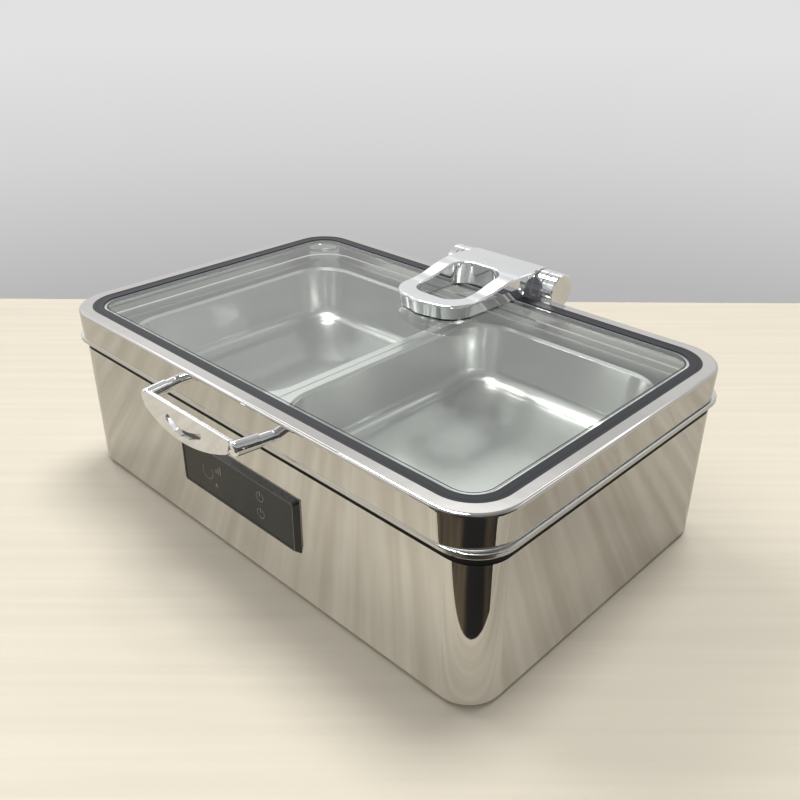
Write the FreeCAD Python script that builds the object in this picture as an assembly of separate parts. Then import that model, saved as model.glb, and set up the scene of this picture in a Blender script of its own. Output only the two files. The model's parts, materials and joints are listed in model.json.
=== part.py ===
"""Induction chafing dish with a glazed, damped lid and two half-size food pans.

Millimetres. X runs along the long side, Y towards the hinge, Z up. The origin is the middle of the
footprint, on the surface that the feet stand on.
"""

import FreeCAD, Part

import math
import os

from FreeCAD import Vector

# Housing: half lengths of the shell, its corner radius, and where its wall starts and ends
HOUSING_X = 291.5
HOUSING_Y = 185.0
HOUSING_R = 34.0
HOUSING_FOOT = 3.0
HOUSING_TOP = 145.5
SHEET = 1.2

# Lid: half lengths of the frame, its corner radius and heights
LID_X = 295.0
LID_Y = 192.5
LID_R = 48.0
LID_TOP = 192.0
LID_SKIRT = 161.0
LID_DRAFT = 0.8
LID_STRIP = 13.0
LID_EDGE_R = 3.0
LID_SHEET = 1.5
GASKET_BAND = 11.5
GASKET_DROP = 8.4
GLASS_TOP = 190.5
GLASS_THICK = 4.0

# Water pan: flange, ledge that the food pans sit on, and well
FLANGE_X = 296.5
FLANGE_Y = 191.5
FLANGE_R = 40.0
FLANGE_TOP = 160.0
FLANGE_DROP = 5.2
FLANGE_HEM = 3.0
SEAL_INSET = 0.8
SEAL_WIDE = 5.5
RECESS_X = 274.0
RECESS_Y = 176.0
RECESS_R = 26.0
LEDGE = 158.5
WELL_X = 257.5
WELL_Y = 155.0
WELL_R = 40.0
WELL_FLOOR = 59.0
WELL_TAPER = 10.0
WELL_BEND = 15.0

# Food pans: two half-size pans share one full-size opening of 530 by 325
PAN_LONG = 530.0
PAN_WIDE = 325.0
PAN_RIM = 11.0
PAN_GAP = 0.4
PAN_RIM_TOP = 160.0
PAN_DEPTH = 65.0
PAN_TAPER = 8.0
PAN_CORNER_R = 46.0
PAN_EDGE_R = 14.0
PAN_BEND = 16.0
PAN_SHEET = 0.9

# Hinge: axis, barrel and the cast arm that loops over the glass
AXIS_Y = 214.0
AXIS_Z = 195.0
PIN_R = 5.0
RUNNING_GAP = 0.05
KNUCKLE_R = 21.5
KNUCKLE_HALF = 50.0
KNUCKLE_BORE_R = 12.0
CHEEK_R = 20.0
CHEEK_IN = 51.0
CHEEK_OUT = 61.0
CAP_IN = 61.6
CAP_OUT = 78.0
CAP_EDGE = 1.2
CAP_GROOVE = 0.8
CAP_GROOVE_WIDE = 1.2
LOOP_HALF = 49.0
LOOP_FRONT = 61.0
LOOP_TOP = 208.0
LOOP_LEVEL_Y = 98.0
LOOP_CORNER_R = 34.0
LOOP_HOLE_HALF = 32.0
LOOP_HOLE_FRONT = 81.0
LOOP_HOLE_BACK = 170.0
ARM_FLARE = 54.0
ARM_CREST_Y = 172.0
ARM_CREST_Z = 217.7
ARM_HEEL_Y = 178.0
ARM_PLATE = 5.4
ARM_EDGE_R = 1.8
ARM_UNDERCUT = 3.5
PAD_THICK = 1.0
BUMPER_X = 200.0
BRACKET_Z = 113.0

# Handle: arms on the skirt and the slanted plate between them
HANDLE_ROOT_X = 73.0
HANDLE_NOSE_X = 66.0
HANDLE_Z = 177.0
HANDLE_REACH = 40.0
HANDLE_ARM_R = 6.4
ARM_STUB = 0.42
STUB_STEP = 0.7
PLATE_TILT = 18.0
PLATE_RISE = 7.5
PLATE_HALF = 63.5
PLATE_DROP_END = 13.0
PLATE_DROP_MID = 25.6
PLATE_THICK = 5.5
SLOT_HALF = 24.0
SLOT_DROP_END = 11.7
SLOT_DROP_MID = 17.3
SLOT_WIDE = 5.8

# Control panel on the front wall
PANEL_X = 90.0
PANEL_LOW = 55.5
PANEL_HIGH = 115.0
PANEL_PROUD = 5.0
PANEL_BEVEL = 4.0
PANEL_DEEP = 8.0

# Parts in the base
BASE_PLATE_Z = 4.2
COIL_R = 98.0
COIL_HOLE_R = 24.0
COIL_STACK = 12.4
FAN_X = 180.0
FAN_HALF = 40.0
FAN_HEIGHT = 22.0
BOARD_X = -190.0
BOARD_LOW = 16.0
BOARD_TOP = 17.6
INLET_X = -210.0
INLET_Z = 38.0
FOOT_X = 245.0
FOOT_Y = 140.0

UP = Vector(0, 0, 1)
ALONG = Vector(1, 0, 0)
BACK = Vector(0, 1, 0)


def rounded_wire(hx, hy, r, z, cx=0.0, cy=0.0):
    """Closed rectangle of half lengths hx and hy with corner radius r, at height z."""
    edges = []
    quarter = math.pi / 2
    corners = [(hx - r, hy - r), (r - hx, hy - r), (r - hx, r - hy), (hx - r, r - hy)]
    for number, (x, y) in enumerate(corners):
        start = number * quarter
        centre = Vector(cx + x, cy + y, z)
        points = []
        for part in (0.0, 0.5, 1.0):
            angle = start + part * quarter
            points.append(centre + Vector(r * math.cos(angle), r * math.sin(angle), 0))
        edges.append(Part.Arc(*points).toShape())
        nx, ny = corners[(number + 1) % 4]
        end = Vector(cx + nx + r * math.cos(start + quarter), cy + ny + r * math.sin(start + quarter), z)
        edges.append(Part.LineSegment(points[-1], end).toShape())
    return Part.Wire(edges)


def block(hx, hy, r, z0, z1, cx=0.0, cy=0.0):
    """Upright prism on a rounded rectangle."""
    return Part.Face(rounded_wire(hx, hy, r, z0, cx, cy)).extrude(Vector(0, 0, z1 - z0))


def ring(hx, hy, r, width, z0, z1):
    """Upright band of a given width inside a rounded rectangle."""
    return block(hx, hy, r, z0, z1).cut(block(hx - width, hy - width, r - width, z0 - 1, z1 + 1))


def taper(low, high, cx=0.0, cy=0.0):
    """Solid between two rounded rectangles, each given as (half x, half y, radius, height)."""
    return Part.makeLoft([rounded_wire(*low, cx, cy), rounded_wire(*high, cx, cy)], True, True)


def cuboid(x0, x1, y0, y1, z0, z1):
    """Box between two corners."""
    return Part.makeBox(x1 - x0, y1 - y0, z1 - z0, Vector(x0, y0, z0))


def edges_at(shape, z, tolerance=0.01):
    """Edges that lie wholly at one height."""
    found = []
    for edge in shape.Edges:
        if all(abs(v.Z - z) < tolerance for v in edge.Vertexes):
            found.append(edge)
    return found


def rod(radius, start, end):
    """Round bar between two points."""
    way = end - start
    return Part.makeCylinder(radius, way.Length, start, way)


def along_x(radius, x0, x1, y=AXIS_Y, z=AXIS_Z):
    """Round bar parallel to X, on the hinge axis unless told otherwise."""
    return Part.makeCylinder(radius, x1 - x0, Vector(x0, y, z), ALONG)


def side_profile(edges, half_width):
    """Solid from a closed outline in the YZ plane, extruded evenly either side of X = 0."""
    face = Part.Face(Part.Wire(edges))
    solid = face.extrude(Vector(2 * half_width, 0, 0))
    solid.translate(Vector(-half_width, 0, 0))
    return solid


def yz(y, z):
    """Point in the plane of symmetry."""
    return Vector(0, y, z)


def line(a, b):
    """Straight edge."""
    return Part.LineSegment(a, b).toShape()


def bezier(*points):
    """Smooth edge from the first pole to the last."""
    curve = Part.BezierCurve()
    curve.setPoles(list(points))
    return curve.toShape()


def mirrored(shape):
    """The same shape on the other side of X = 0."""
    return shape.mirror(Vector(0, 0, 0), ALONG)


def pair(shape):
    """A shape and its mirror image as separate solids."""
    return Part.makeCompound([shape, mirrored(shape)])


def slot(length, width, height, x, y, z, turned=False):
    """Round-ended cutter, long in X or, when turned, in Y."""
    hx = width / 2 if turned else length / 2
    hy = length / 2 if turned else width / 2
    return block(hx, hy, width / 2 - 0.01, z, z + height, x, y)


# Housing and base


def housing():
    """Shell with turned-in lips, a panel window, an inlet cut-out and rear air slots."""
    lip = 12.0
    outer = block(HOUSING_X, HOUSING_Y, HOUSING_R, HOUSING_FOOT, HOUSING_TOP)
    outer = outer.makeFillet(3.0, edges_at(outer, HOUSING_FOOT))
    low = HOUSING_FOOT + SHEET
    high = HOUSING_TOP - SHEET
    inner = block(HOUSING_X - SHEET, HOUSING_Y - SHEET, HOUSING_R - SHEET, low, high)
    inner = inner.makeFillet(2.0, edges_at(inner, low))
    mouth = block(HOUSING_X - lip, HOUSING_Y - lip, HOUSING_R - lip, HOUSING_FOOT - 1, HOUSING_TOP + 1)
    window_edge = PANEL_BEVEL + 1.0
    window = cuboid(
        -PANEL_X + window_edge,
        PANEL_X - window_edge,
        -HOUSING_Y - 5,
        -HOUSING_Y + 5,
        PANEL_LOW + window_edge,
        PANEL_HIGH - window_edge,
    )
    inlet = cuboid(
        INLET_X - 14.5,
        INLET_X + 14.5,
        HOUSING_Y - 5,
        HOUSING_Y + 5,
        INLET_Z - 10.5,
        INLET_Z + 10.5,
    )
    cutters = [inner, mouth, window, inlet]
    for x, y in base_screw_places():
        cutters.append(rod(2.3, Vector(x, y, 0), Vector(x, y, 10)))
    for x, z in inlet_screw_places():
        cutters.append(rod(1.8, Vector(x, HOUSING_Y - 5, z), Vector(x, HOUSING_Y + 5, z)))
    for x, z in bracket_screw_places():
        cutters.append(rod(2.75, Vector(x, HOUSING_Y - 5, z), Vector(x, HOUSING_Y + 5, z)))
    for number in range(10):
        x = FAN_X - 45 + 10 * number
        cutter = slot(26, 4, 10, x, 0, 0, turned=True)
        cutter.rotate(Vector(x, 0, 0), ALONG, -90)
        cutter.translate(Vector(0, HOUSING_Y - 5, 34))
        cutters.append(cutter)
    return outer.cut(cutters)


def inlet_screw_places():
    """X and Z of the two screws beside the mains inlet."""
    return [(INLET_X - 20, INLET_Z), (INLET_X + 20, INLET_Z)]


def bracket_screw_places():
    """X and Z of the four screws that hold the hinge bracket."""
    return [(x, z) for x in (-40, 40) for z in (BRACKET_Z - 16, BRACKET_Z + 16)]


def base_plate():
    """Floor of the housing, with a slotted round grille under the fan and screw holes."""
    thick = SHEET
    edge = 4.0
    plate = block(
        HOUSING_X - edge,
        HOUSING_Y - edge,
        HOUSING_R - edge,
        BASE_PLATE_Z,
        BASE_PLATE_Z + thick,
    )
    cutters = []
    pitch = 9.0
    for row in range(-3, 4):
        length = 2 * math.sqrt(36.0**2 - (pitch * row) ** 2)
        cutters.append(slot(length, 4.5, 6, FAN_X, pitch * row, BASE_PLATE_Z - 2))
    for x, y in foot_places() + base_screw_places():
        cutters.append(rod(2.3, Vector(x, y, 0), Vector(x, y, 10)))
    return plate.cut(cutters)


def foot_places():
    """X and Y of the four feet."""
    return [(sx * FOOT_X, sy * FOOT_Y) for sx in (-1, 1) for sy in (-1, 1)]


def base_screw_places():
    """X and Y of the six screws through the turned-in lip of the housing."""
    return [(x, sy * (HOUSING_Y - 8)) for x in (-200, 0, 200) for sy in (-1, 1)]


def dome_screw(x, y, z, head_r, head_h, shank_r, shank, way):
    """Screw with a low domed head at a point; way is the direction in which its shank runs."""
    at = Vector(x, y, z)
    head = Part.makeCone(head_r * 0.72, head_r, head_h, at - way * head_h, way)
    socket = Part.makeCylinder(head_r * 0.4, head_h * 0.6, at - way * head_h, way)
    return head.cut(socket).fuse(Part.makeCylinder(shank_r, shank, at, way))


def base_screws():
    """Six screws, heads down, under the lip."""
    screws = []
    for x, y in base_screw_places():
        screws.append(dome_screw(x, y, HOUSING_FOOT, 3.6, 2.0, 1.9, 6.0, UP))
    return Part.makeCompound(screws)


def feet():
    """Four rubber feet: a tapered pad below the plate and a plug through it."""
    solids = []
    for x, y in foot_places():
        outline = [
            Vector(0, 0, 0),
            Vector(12.5, 0, 0),
            Vector(14.0, 0, 1.2),
            Vector(15.0, 0, BASE_PLATE_Z),
            Vector(2.25, 0, BASE_PLATE_Z),
            Vector(2.25, 0, BASE_PLATE_Z + SHEET),
            Vector(5.5, 0, BASE_PLATE_Z + SHEET + 0.8),
            Vector(2.0, 0, BASE_PLATE_Z + SHEET + 4.0),
            Vector(0, 0, BASE_PLATE_Z + SHEET + 4.0),
            Vector(0, 0, 0),
        ]
        foot = Part.Face(Part.makePolygon(outline)).revolve(Vector(0, 0, 0), UP, 360)
        foot.translate(Vector(x, y, 0))
        solids.append(foot)
    return Part.makeCompound(solids)


# Pans


def water_pan():
    """Drawn pan: flange with a rolled edge, step down to the ledge, and a tapered well with a bottom bend."""
    t = SHEET
    low = FLANGE_TOP - FLANGE_DROP
    flange = block(FLANGE_X, FLANGE_Y, FLANGE_R, low, FLANGE_TOP)
    flange = flange.makeFillet(1.4, edges_at(flange, FLANGE_TOP) + edges_at(flange, low))
    hem = FLANGE_HEM
    under = block(FLANGE_X - hem, FLANGE_Y - hem, FLANGE_R - hem, low - 1, FLANGE_TOP - t)
    flange = flange.cut(under)

    recess = block(RECESS_X, RECESS_Y, RECESS_R, LEDGE, FLANGE_TOP + 1)
    step = block(RECESS_X + t, RECESS_Y + t, RECESS_R + t, LEDGE - t, FLANGE_TOP - t / 2)

    foot = (WELL_X - WELL_TAPER, WELL_Y - WELL_TAPER, WELL_R - 12, WELL_FLOOR)
    foot_in = (foot[0] - t, foot[1] - t, foot[2] - t, WELL_FLOOR + t)
    well = taper(foot, (WELL_X + t, WELL_Y + t, WELL_R + t, LEDGE - t / 2))
    well = well.makeFillet(WELL_BEND, edges_at(well, WELL_FLOOR))
    well_in = taper(foot_in, (WELL_X, WELL_Y, WELL_R, LEDGE + 1))
    well_in = well_in.makeFillet(WELL_BEND - t, edges_at(well_in, WELL_FLOOR + t))
    return flange.fuse([step, well]).cut([recess, well_in]).removeSplitter()


def pan_seal():
    """Dark seal between the top lip of the housing and the flange of the water pan."""
    inset = SEAL_INSET
    low = HOUSING_TOP
    high = FLANGE_TOP - SHEET
    return ring(HOUSING_X - inset, HOUSING_Y - inset, HOUSING_R - inset, SEAL_WIDE, low, high)


def food_pan(side):
    """Half-size pan: flat rim with a turned-down edge over a tapered body; side is -1 or 1."""
    cx = side * (PAN_LONG / 4 + PAN_GAP / 4)
    hx = PAN_LONG / 4 - PAN_GAP / 4
    hy = PAN_WIDE / 2
    t = PAN_SHEET
    top = PAN_RIM_TOP
    edge_r = PAN_EDGE_R
    ix = hx - PAN_RIM
    iy = hy - PAN_RIM
    rim = block(hx, hy, edge_r, LEDGE + 0.02, top, cx)
    rim = rim.makeFillet(1.0, edges_at(rim, top))
    under = block(hx - t, hy - t, edge_r - t, LEDGE - 1, top - t, cx)
    rim = rim.cut(under)

    bend = 3.0
    flare = 2.0
    floor = top - PAN_DEPTH
    body = taper(
        (ix - PAN_TAPER, iy - PAN_TAPER, PAN_CORNER_R - PAN_TAPER, floor - t),
        (ix + t, iy + t, PAN_CORNER_R + t, top - bend),
        cx,
    )
    body = body.makeFillet(PAN_BEND + t, edges_at(body, floor - t))
    collar = taper(
        (ix + t, iy + t, PAN_CORNER_R + t, top - bend),
        (ix + t + flare, iy + t + flare, PAN_CORNER_R + t + flare, top - t / 2),
        cx,
    )
    inside = taper(
        (ix - PAN_TAPER - t, iy - PAN_TAPER - t, PAN_CORNER_R - PAN_TAPER - t, floor),
        (ix, iy, PAN_CORNER_R, top),
        cx,
    )
    inside = inside.makeFillet(PAN_BEND, edges_at(inside, floor))
    funnel = taper(
        (ix, iy, PAN_CORNER_R, top - bend),
        (ix + flare, iy + flare, PAN_CORNER_R + flare, top + 0.01),
        cx,
    )
    return rim.fuse([body, collar]).cut([inside, funnel]).removeSplitter()


# Lid


def skirt_body():
    """Drafted block whose outside is the skirt of the lid."""
    return taper(
        (LID_X - LID_DRAFT, LID_Y - LID_DRAFT, LID_R - LID_DRAFT, LID_SKIRT),
        (LID_X, LID_Y, LID_R, LID_TOP - 4.0),
    )


def skirt_hollow():
    """Drafted block that fills the inside of the skirt."""
    inset = LID_DRAFT + LID_SHEET
    return taper(
        (LID_X - inset, LID_Y - inset, LID_R - inset, LID_SKIRT - 1),
        (LID_X - LID_SHEET, LID_Y - LID_SHEET, LID_R - LID_SHEET, LID_TOP - LID_SHEET),
    )


def lid_frame():
    """Polished frame: drafted skirt, flat top strip, and an inner channel with a ledge for the gasket."""
    t = LID_SHEET
    below = LID_TOP - 4.0
    skirt = skirt_body()
    crown = block(LID_X, LID_Y, LID_R, below, LID_TOP)
    crown = crown.makeFillet(LID_EDGE_R, edges_at(crown, LID_TOP))
    window = block(*window_sizes(0), LID_TOP - 10, LID_TOP + 1)
    shell = skirt.fuse(crown).cut([skirt_hollow(), window])
    seat = LID_TOP - GASKET_DROP
    wall = ring(*window_sizes(-t), t, seat, LID_TOP - t / 2)
    ledge = ring(*window_sizes(-t), t + GASKET_BAND + 2.0, seat - t, seat)
    frame = shell.fuse([wall, ledge])
    holes = []
    for side in (-1, 1):
        x = side * HANDLE_ROOT_X
        holes.append(rod(2.6, Vector(x, -LID_Y - 3, HANDLE_Z), Vector(x, -LID_Y + 5, HANDLE_Z)))
    return frame.cut(holes).removeSplitter()


def window_sizes(inset):
    """Half lengths and radius of the lid's window, drawn in by an inset."""
    return (LID_X - LID_STRIP - inset, LID_Y - LID_STRIP - inset, LID_R - LID_STRIP + 4 - inset)


def lid_gasket():
    """Dark band that grips the glass; its top stands just below the frame."""
    low = LID_TOP - GASKET_DROP
    high = LID_TOP - 0.5
    band = block(*window_sizes(0), low, high).cut(block(*window_sizes(GASKET_BAND), low - 1, high + 1))
    groove = block(*window_sizes(4.0), GLASS_TOP - GLASS_THICK, GLASS_TOP)
    return band.cut(groove)


def clamp_screw_places():
    """X and Y of the four screws that clamp the loop to the glass."""
    return [(-37, 84), (-13, 71), (13, 71), (37, 84)]


def lid_glass():
    """Clear pane with four clearance holes for the clamp screws."""
    pane = block(*window_sizes(4.0), GLASS_TOP - GLASS_THICK, GLASS_TOP)
    holes = []
    for x, y in clamp_screw_places():
        holes.append(rod(3.5, Vector(x, y, GLASS_TOP - 10), Vector(x, y, GLASS_TOP + 5)))
    return pane.cut(holes)


def lid_bumpers():
    """Two soft pads inside the front of the skirt that rest on the flat of the flange."""
    half = 9.0
    reach = 12.0
    low = FLANGE_TOP + RUNNING_GAP
    pad = cuboid(BUMPER_X - half, BUMPER_X + half, -LID_Y, reach - LID_Y, low, LID_SKIRT + 5)
    return pair(pad.common(skirt_hollow()))


def tilted_point(u, v):
    """Point on the handle plate's outer face: u along X, v down the slope from its top edge."""
    tilt = math.radians(PLATE_TILT)
    top_y = -LID_Y - HANDLE_REACH
    top_z = HANDLE_Z + PLATE_RISE
    return Vector(u, top_y - v * math.sin(tilt), top_z - v * math.cos(tilt))


def plate_normal():
    """Direction out of the handle plate's outer face."""
    tilt = math.radians(PLATE_TILT)
    return Vector(0, -math.cos(tilt), math.sin(tilt))


def arc(a, b, c):
    """Circular edge through three points."""
    return Part.Arc(a, b, c).toShape()


def handle():
    """One casting: two tapered arms, and a slanted D-shaped plate with a curved slot."""
    p = tilted_point
    h = PLATE_HALF
    outline = Part.Wire(
        [
            line(p(-h + 2, 0), p(h - 2, 0)),
            arc(p(h - 2, 0), p(h + 1.5, PLATE_DROP_END / 2), p(h - 3, PLATE_DROP_END + 1)),
            arc(p(h - 3, PLATE_DROP_END + 1), p(0, PLATE_DROP_MID), p(3 - h, PLATE_DROP_END + 1)),
            arc(p(3 - h, PLATE_DROP_END + 1), p(-h - 1.5, PLATE_DROP_END / 2), p(-h + 2, 0)),
        ]
    )
    plate = Part.Face(outline).extrude(plate_normal() * -PLATE_THICK)
    plate = plate.makeFillet(1.2, plate.Edges)

    w = SLOT_WIDE / 2
    smile = Part.Wire(
        [
            arc(p(-SLOT_HALF, SLOT_DROP_END - w), p(0, SLOT_DROP_MID - w), p(SLOT_HALF, SLOT_DROP_END - w)),
            arc(
                p(SLOT_HALF, SLOT_DROP_END - w),
                p(SLOT_HALF + w, SLOT_DROP_END - 0.4),
                p(SLOT_HALF, SLOT_DROP_END + w),
            ),
            arc(p(SLOT_HALF, SLOT_DROP_END + w), p(0, SLOT_DROP_MID + w), p(-SLOT_HALF, SLOT_DROP_END + w)),
            arc(
                p(-SLOT_HALF, SLOT_DROP_END + w),
                p(-SLOT_HALF - w, SLOT_DROP_END - 0.4),
                p(-SLOT_HALF, SLOT_DROP_END - w),
            ),
        ]
    )
    cutter = Part.Face(smile).extrude(plate_normal() * -(PLATE_THICK + 4))
    cutter.translate(plate_normal() * 2)

    arm = handle_arm()
    return plate.cut(cutter).fuse([arm, mirrored(arm)]).cut(skirt_body()).removeSplitter()


def handle_arm():
    """Right-hand arm: a slightly thinner stub at the skirt, then a sleeve that grows to its round nose."""
    root = -LID_Y + 2.0
    nose = -LID_Y - HANDLE_REACH - 1.0
    start = Vector(HANDLE_ROOT_X, root, HANDLE_Z)
    end = Vector(HANDLE_NOSE_X, nose, HANDLE_Z)
    tall = HANDLE_ARM_R + 1.0
    wide = HANDLE_ARM_R - 0.3
    first = Part.Circle(start, BACK, HANDLE_ARM_R)
    last = Part.Ellipse(end + Vector(0, 0, tall), end + Vector(wide, 0, 0), end)
    arm = Part.makeLoft([Part.Wire(first.toShape()), Part.Wire(last.toShape())], True, True)
    rim = [edge for edge in arm.Edges if abs(edge.BoundBox.YMax - nose) < 0.01]
    arm = arm.makeFillet(3.5, rim)
    hole = rod(2.05, Vector(HANDLE_ROOT_X, root + 1, HANDLE_Z), Vector(HANDLE_ROOT_X, root - 15, HANDLE_Z))
    shoulder = start + (end - start) * ARM_STUB
    stub = rod(HANDLE_ARM_R + 4, start, shoulder).cut(rod(HANDLE_ARM_R - STUB_STEP, start, shoulder))
    return arm.cut([hole, stub])


def handle_screws():
    """Two screws with washers that sit on the inner face of the skirt."""
    inside = -LID_Y + LID_SHEET + 1.2
    at = Vector(HANDLE_ROOT_X, inside, HANDLE_Z)
    screw = dome_screw(at.x, at.y, at.z, 4.4, 2.6, 2.0, 12.0, -BACK)
    washer = rod(5.5, at, at - BACK * 2).common(skirt_hollow())
    return pair(screw.fuse(washer))


# Hinge


def loop_wire(inset, z):
    """Plan of the hinge arm: a rounded front, sides that flare towards the back, and rounded rear corners."""
    x = LOOP_HALF - inset
    r = LOOP_CORNER_R - inset
    front = LOOP_FRONT + inset
    flare = ARM_FLARE - inset
    bow = 3.0
    diagonal = r * (1 - math.sqrt(0.5))
    back = AXIS_Y + KNUCKLE_R + 2
    flare_y = AXIS_Y - 29
    side = []
    for s in (1, -1):
        side.append(
            [
                Vector(s * (x - r), front, z),
                Vector(s * (x - diagonal), front + diagonal, z),
                Vector(s * x, front + r, z),
                Vector(s * flare, flare_y, z),
                Vector(s * (flare - 1.2), flare_y + 10, z),
                Vector(s * KNUCKLE_HALF, flare_y + 15, z),
                Vector(s * KNUCKLE_HALF, back, z),
            ]
        )
    a, b = side
    return Part.Wire(
        [
            arc(b[0], Vector(0, front - bow, z), a[0]),
            arc(a[0], a[1], a[2]),
            line(a[2], a[3]),
            arc(a[3], a[4], a[5]),
            line(a[5], a[6]),
            line(a[6], b[6]),
            line(b[6], b[5]),
            arc(b[5], b[4], b[3]),
            line(b[3], b[2]),
            arc(b[2], b[1], b[0]),
        ]
    )


def hinge_arm():
    """Cast arm: a thick loop on the glass, whose top rises into a plate and wraps the barrel."""
    low = GLASS_TOP + PAD_THICK
    under = ARM_CREST_Z - ARM_PLATE
    meet = AXIS_Y - math.sqrt(KNUCKLE_R**2 - (under - AXIS_Z) ** 2)
    crest = AXIS_Z + KNUCKLE_R
    heel = ARM_HEEL_Y
    top_back = yz(ARM_CREST_Y, ARM_CREST_Z)
    top_front = yz(LOOP_LEVEL_Y, LOOP_TOP)
    profile = [
        line(yz(LOOP_FRONT - 6, low), yz(heel, low)),
        line(yz(heel, low), yz(heel, under - 9)),
        bezier(yz(heel, under - 9), yz(heel, under - 3), yz(heel + 3, under), yz(heel + 9, under)),
        line(yz(heel + 9, under), yz(meet + 1, under)),
        line(yz(meet + 1, under), yz(AXIS_Y, AXIS_Z)),
        line(yz(AXIS_Y, AXIS_Z), yz(AXIS_Y, crest)),
        bezier(yz(AXIS_Y, crest), yz(200, crest), yz(188, ARM_CREST_Z), top_back),
        bezier(top_back, yz(140, ARM_CREST_Z), yz(130, LOOP_TOP), top_front),
        line(top_front, yz(LOOP_FRONT - 6, LOOP_TOP)),
        line(yz(LOOP_FRONT - 6, LOOP_TOP), yz(LOOP_FRONT - 6, low)),
    ]
    side = side_profile(profile, ARM_FLARE + 4)
    flank = Part.makeLoft([loop_wire(ARM_UNDERCUT, low - 1), loop_wire(0.0, LOOP_TOP - 3)], True, True)
    upper = Part.Face(loop_wire(0.0, LOOP_TOP - 3)).extrude(Vector(0, 0, 20))
    body = side.common(flank.fuse(upper))

    hole_y = (LOOP_HOLE_FRONT + LOOP_HOLE_BACK) / 2
    hole_half = (LOOP_HOLE_BACK - LOOP_HOLE_FRONT) / 2
    opening = block(LOOP_HOLE_HALF, hole_half, 20, low - 5, ARM_CREST_Z + 5, 0, hole_y)
    knuckle = along_x(KNUCKLE_R, -KNUCKLE_HALF, KNUCKLE_HALF)
    bore = along_x(KNUCKLE_BORE_R, -KNUCKLE_HALF - 1, KNUCKLE_HALF + 1)
    cutters = [opening, bore]
    for x, y in clamp_screw_places():
        cutters.append(rod(2.1, Vector(x, y, low - 1), Vector(x, y, low + 10)))
    arm = body.fuse(knuckle).cut(cutters).removeSplitter()
    arm = arm.makeFillet(ARM_EDGE_R, loop_edges(arm, outer=True))
    return arm.makeFillet(ARM_EDGE_R, loop_edges(arm, outer=False))


def loop_edges(arm, outer):
    """Edges round the top of the loop: its outer edge or the rim of its hole."""
    found = []
    for edge in arm.Edges:
        box = edge.BoundBox
        hole = box.YMin > LOOP_HOLE_FRONT - 0.1 and abs(edge.CenterOfMass.x) < LOOP_HOLE_HALF + 0.1
        on_top = box.ZMin > LOOP_TOP - 0.1 and box.YMax < ARM_CREST_Y + 0.1
        seam = any(abs(box.YMin - y) + abs(box.YMax - y) < 0.1 for y in (LOOP_LEVEL_Y, ARM_CREST_Y))
        if on_top and hole != outer and not seam:
            found.append(edge)
    return found


def arm_pad():
    """Soft pad between the loop and the glass, cut back from the clamp screws."""
    low = GLASS_TOP
    face = Part.Face(loop_wire(5.0, low)).extrude(Vector(0, 0, PAD_THICK))
    keep = cuboid(-60, 60, LOOP_FRONT - 10, window_sizes(GASKET_BAND)[1] - 0.6, low - 1, low + 2)
    hole_half = (LOOP_HOLE_BACK - LOOP_HOLE_FRONT) / 2 + 1
    hole_y = (LOOP_HOLE_FRONT + LOOP_HOLE_BACK) / 2
    opening = block(LOOP_HOLE_HALF + 1, hole_half, 20, low - 1, low + 2, 0, hole_y)
    cutters = [opening]
    for x, y in clamp_screw_places():
        cutters.append(rod(3.5, Vector(x, y, low - 1), Vector(x, y, low + 2)))
    return face.common(keep).cut(cutters)


def clamp_plate():
    """Steel clamp under the glass, shaped like the front of the loop."""
    top = GLASS_TOP - GLASS_THICK
    thick = 3.0
    face = Part.Face(loop_wire(4.0, top - thick)).extrude(Vector(0, 0, thick))
    keep = cuboid(-60, 60, LOOP_FRONT - 10, 96, top - thick - 1, top + 1)
    hole_half = (LOOP_HOLE_BACK - LOOP_HOLE_FRONT) / 2
    hole_y = (LOOP_HOLE_FRONT + LOOP_HOLE_BACK) / 2
    opening = block(LOOP_HOLE_HALF - 4, hole_half, 18, top - thick - 1, top + 1, 0, hole_y + 5)
    cutters = [opening]
    for x, y in clamp_screw_places():
        cutters.append(rod(2.4, Vector(x, y, top - 10), Vector(x, y, top + 2)))
    return face.common(keep).cut(cutters)


def clamp_screws():
    """Four screws, heads below the clamp plate, up through the glass into the loop."""
    head_z = GLASS_TOP - GLASS_THICK - 3.0
    screws = []
    for x, y in clamp_screw_places():
        screws.append(dome_screw(x, y, head_z, 4.0, 2.2, 2.0, 14.0, UP))
    return Part.makeCompound(screws)


def hinge_bushes():
    """Two plain bushes pressed into the ends of the knuckle."""
    length = 14.0
    bush = along_x(KNUCKLE_BORE_R, KNUCKLE_HALF - length, KNUCKLE_HALF)
    return pair(bush.cut(along_x(PIN_R + RUNNING_GAP, KNUCKLE_HALF - length - 1, KNUCKLE_HALF + 1)))


def hinge_damper():
    """Damper cartridge inside the knuckle, with a slimmer waist between its two seal lands."""
    half = 34.0
    body = along_x(KNUCKLE_BORE_R, -half, half)
    waist = along_x(KNUCKLE_BORE_R + 2, -12, 12).cut(along_x(KNUCKLE_BORE_R - 1.5, -13, 13))
    return body.cut([waist, along_x(PIN_R + RUNNING_GAP, -half - 1, half + 1)])


def hinge_pin():
    """Steel pin held by the cheeks and capped at both ends."""
    end = CAP_OUT - 6.2
    pin = along_x(PIN_R, -end, end)
    rims = [edge for edge in pin.Edges if len(edge.Vertexes) == 1]
    return pin.makeChamfer(0.8, rims)


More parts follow.
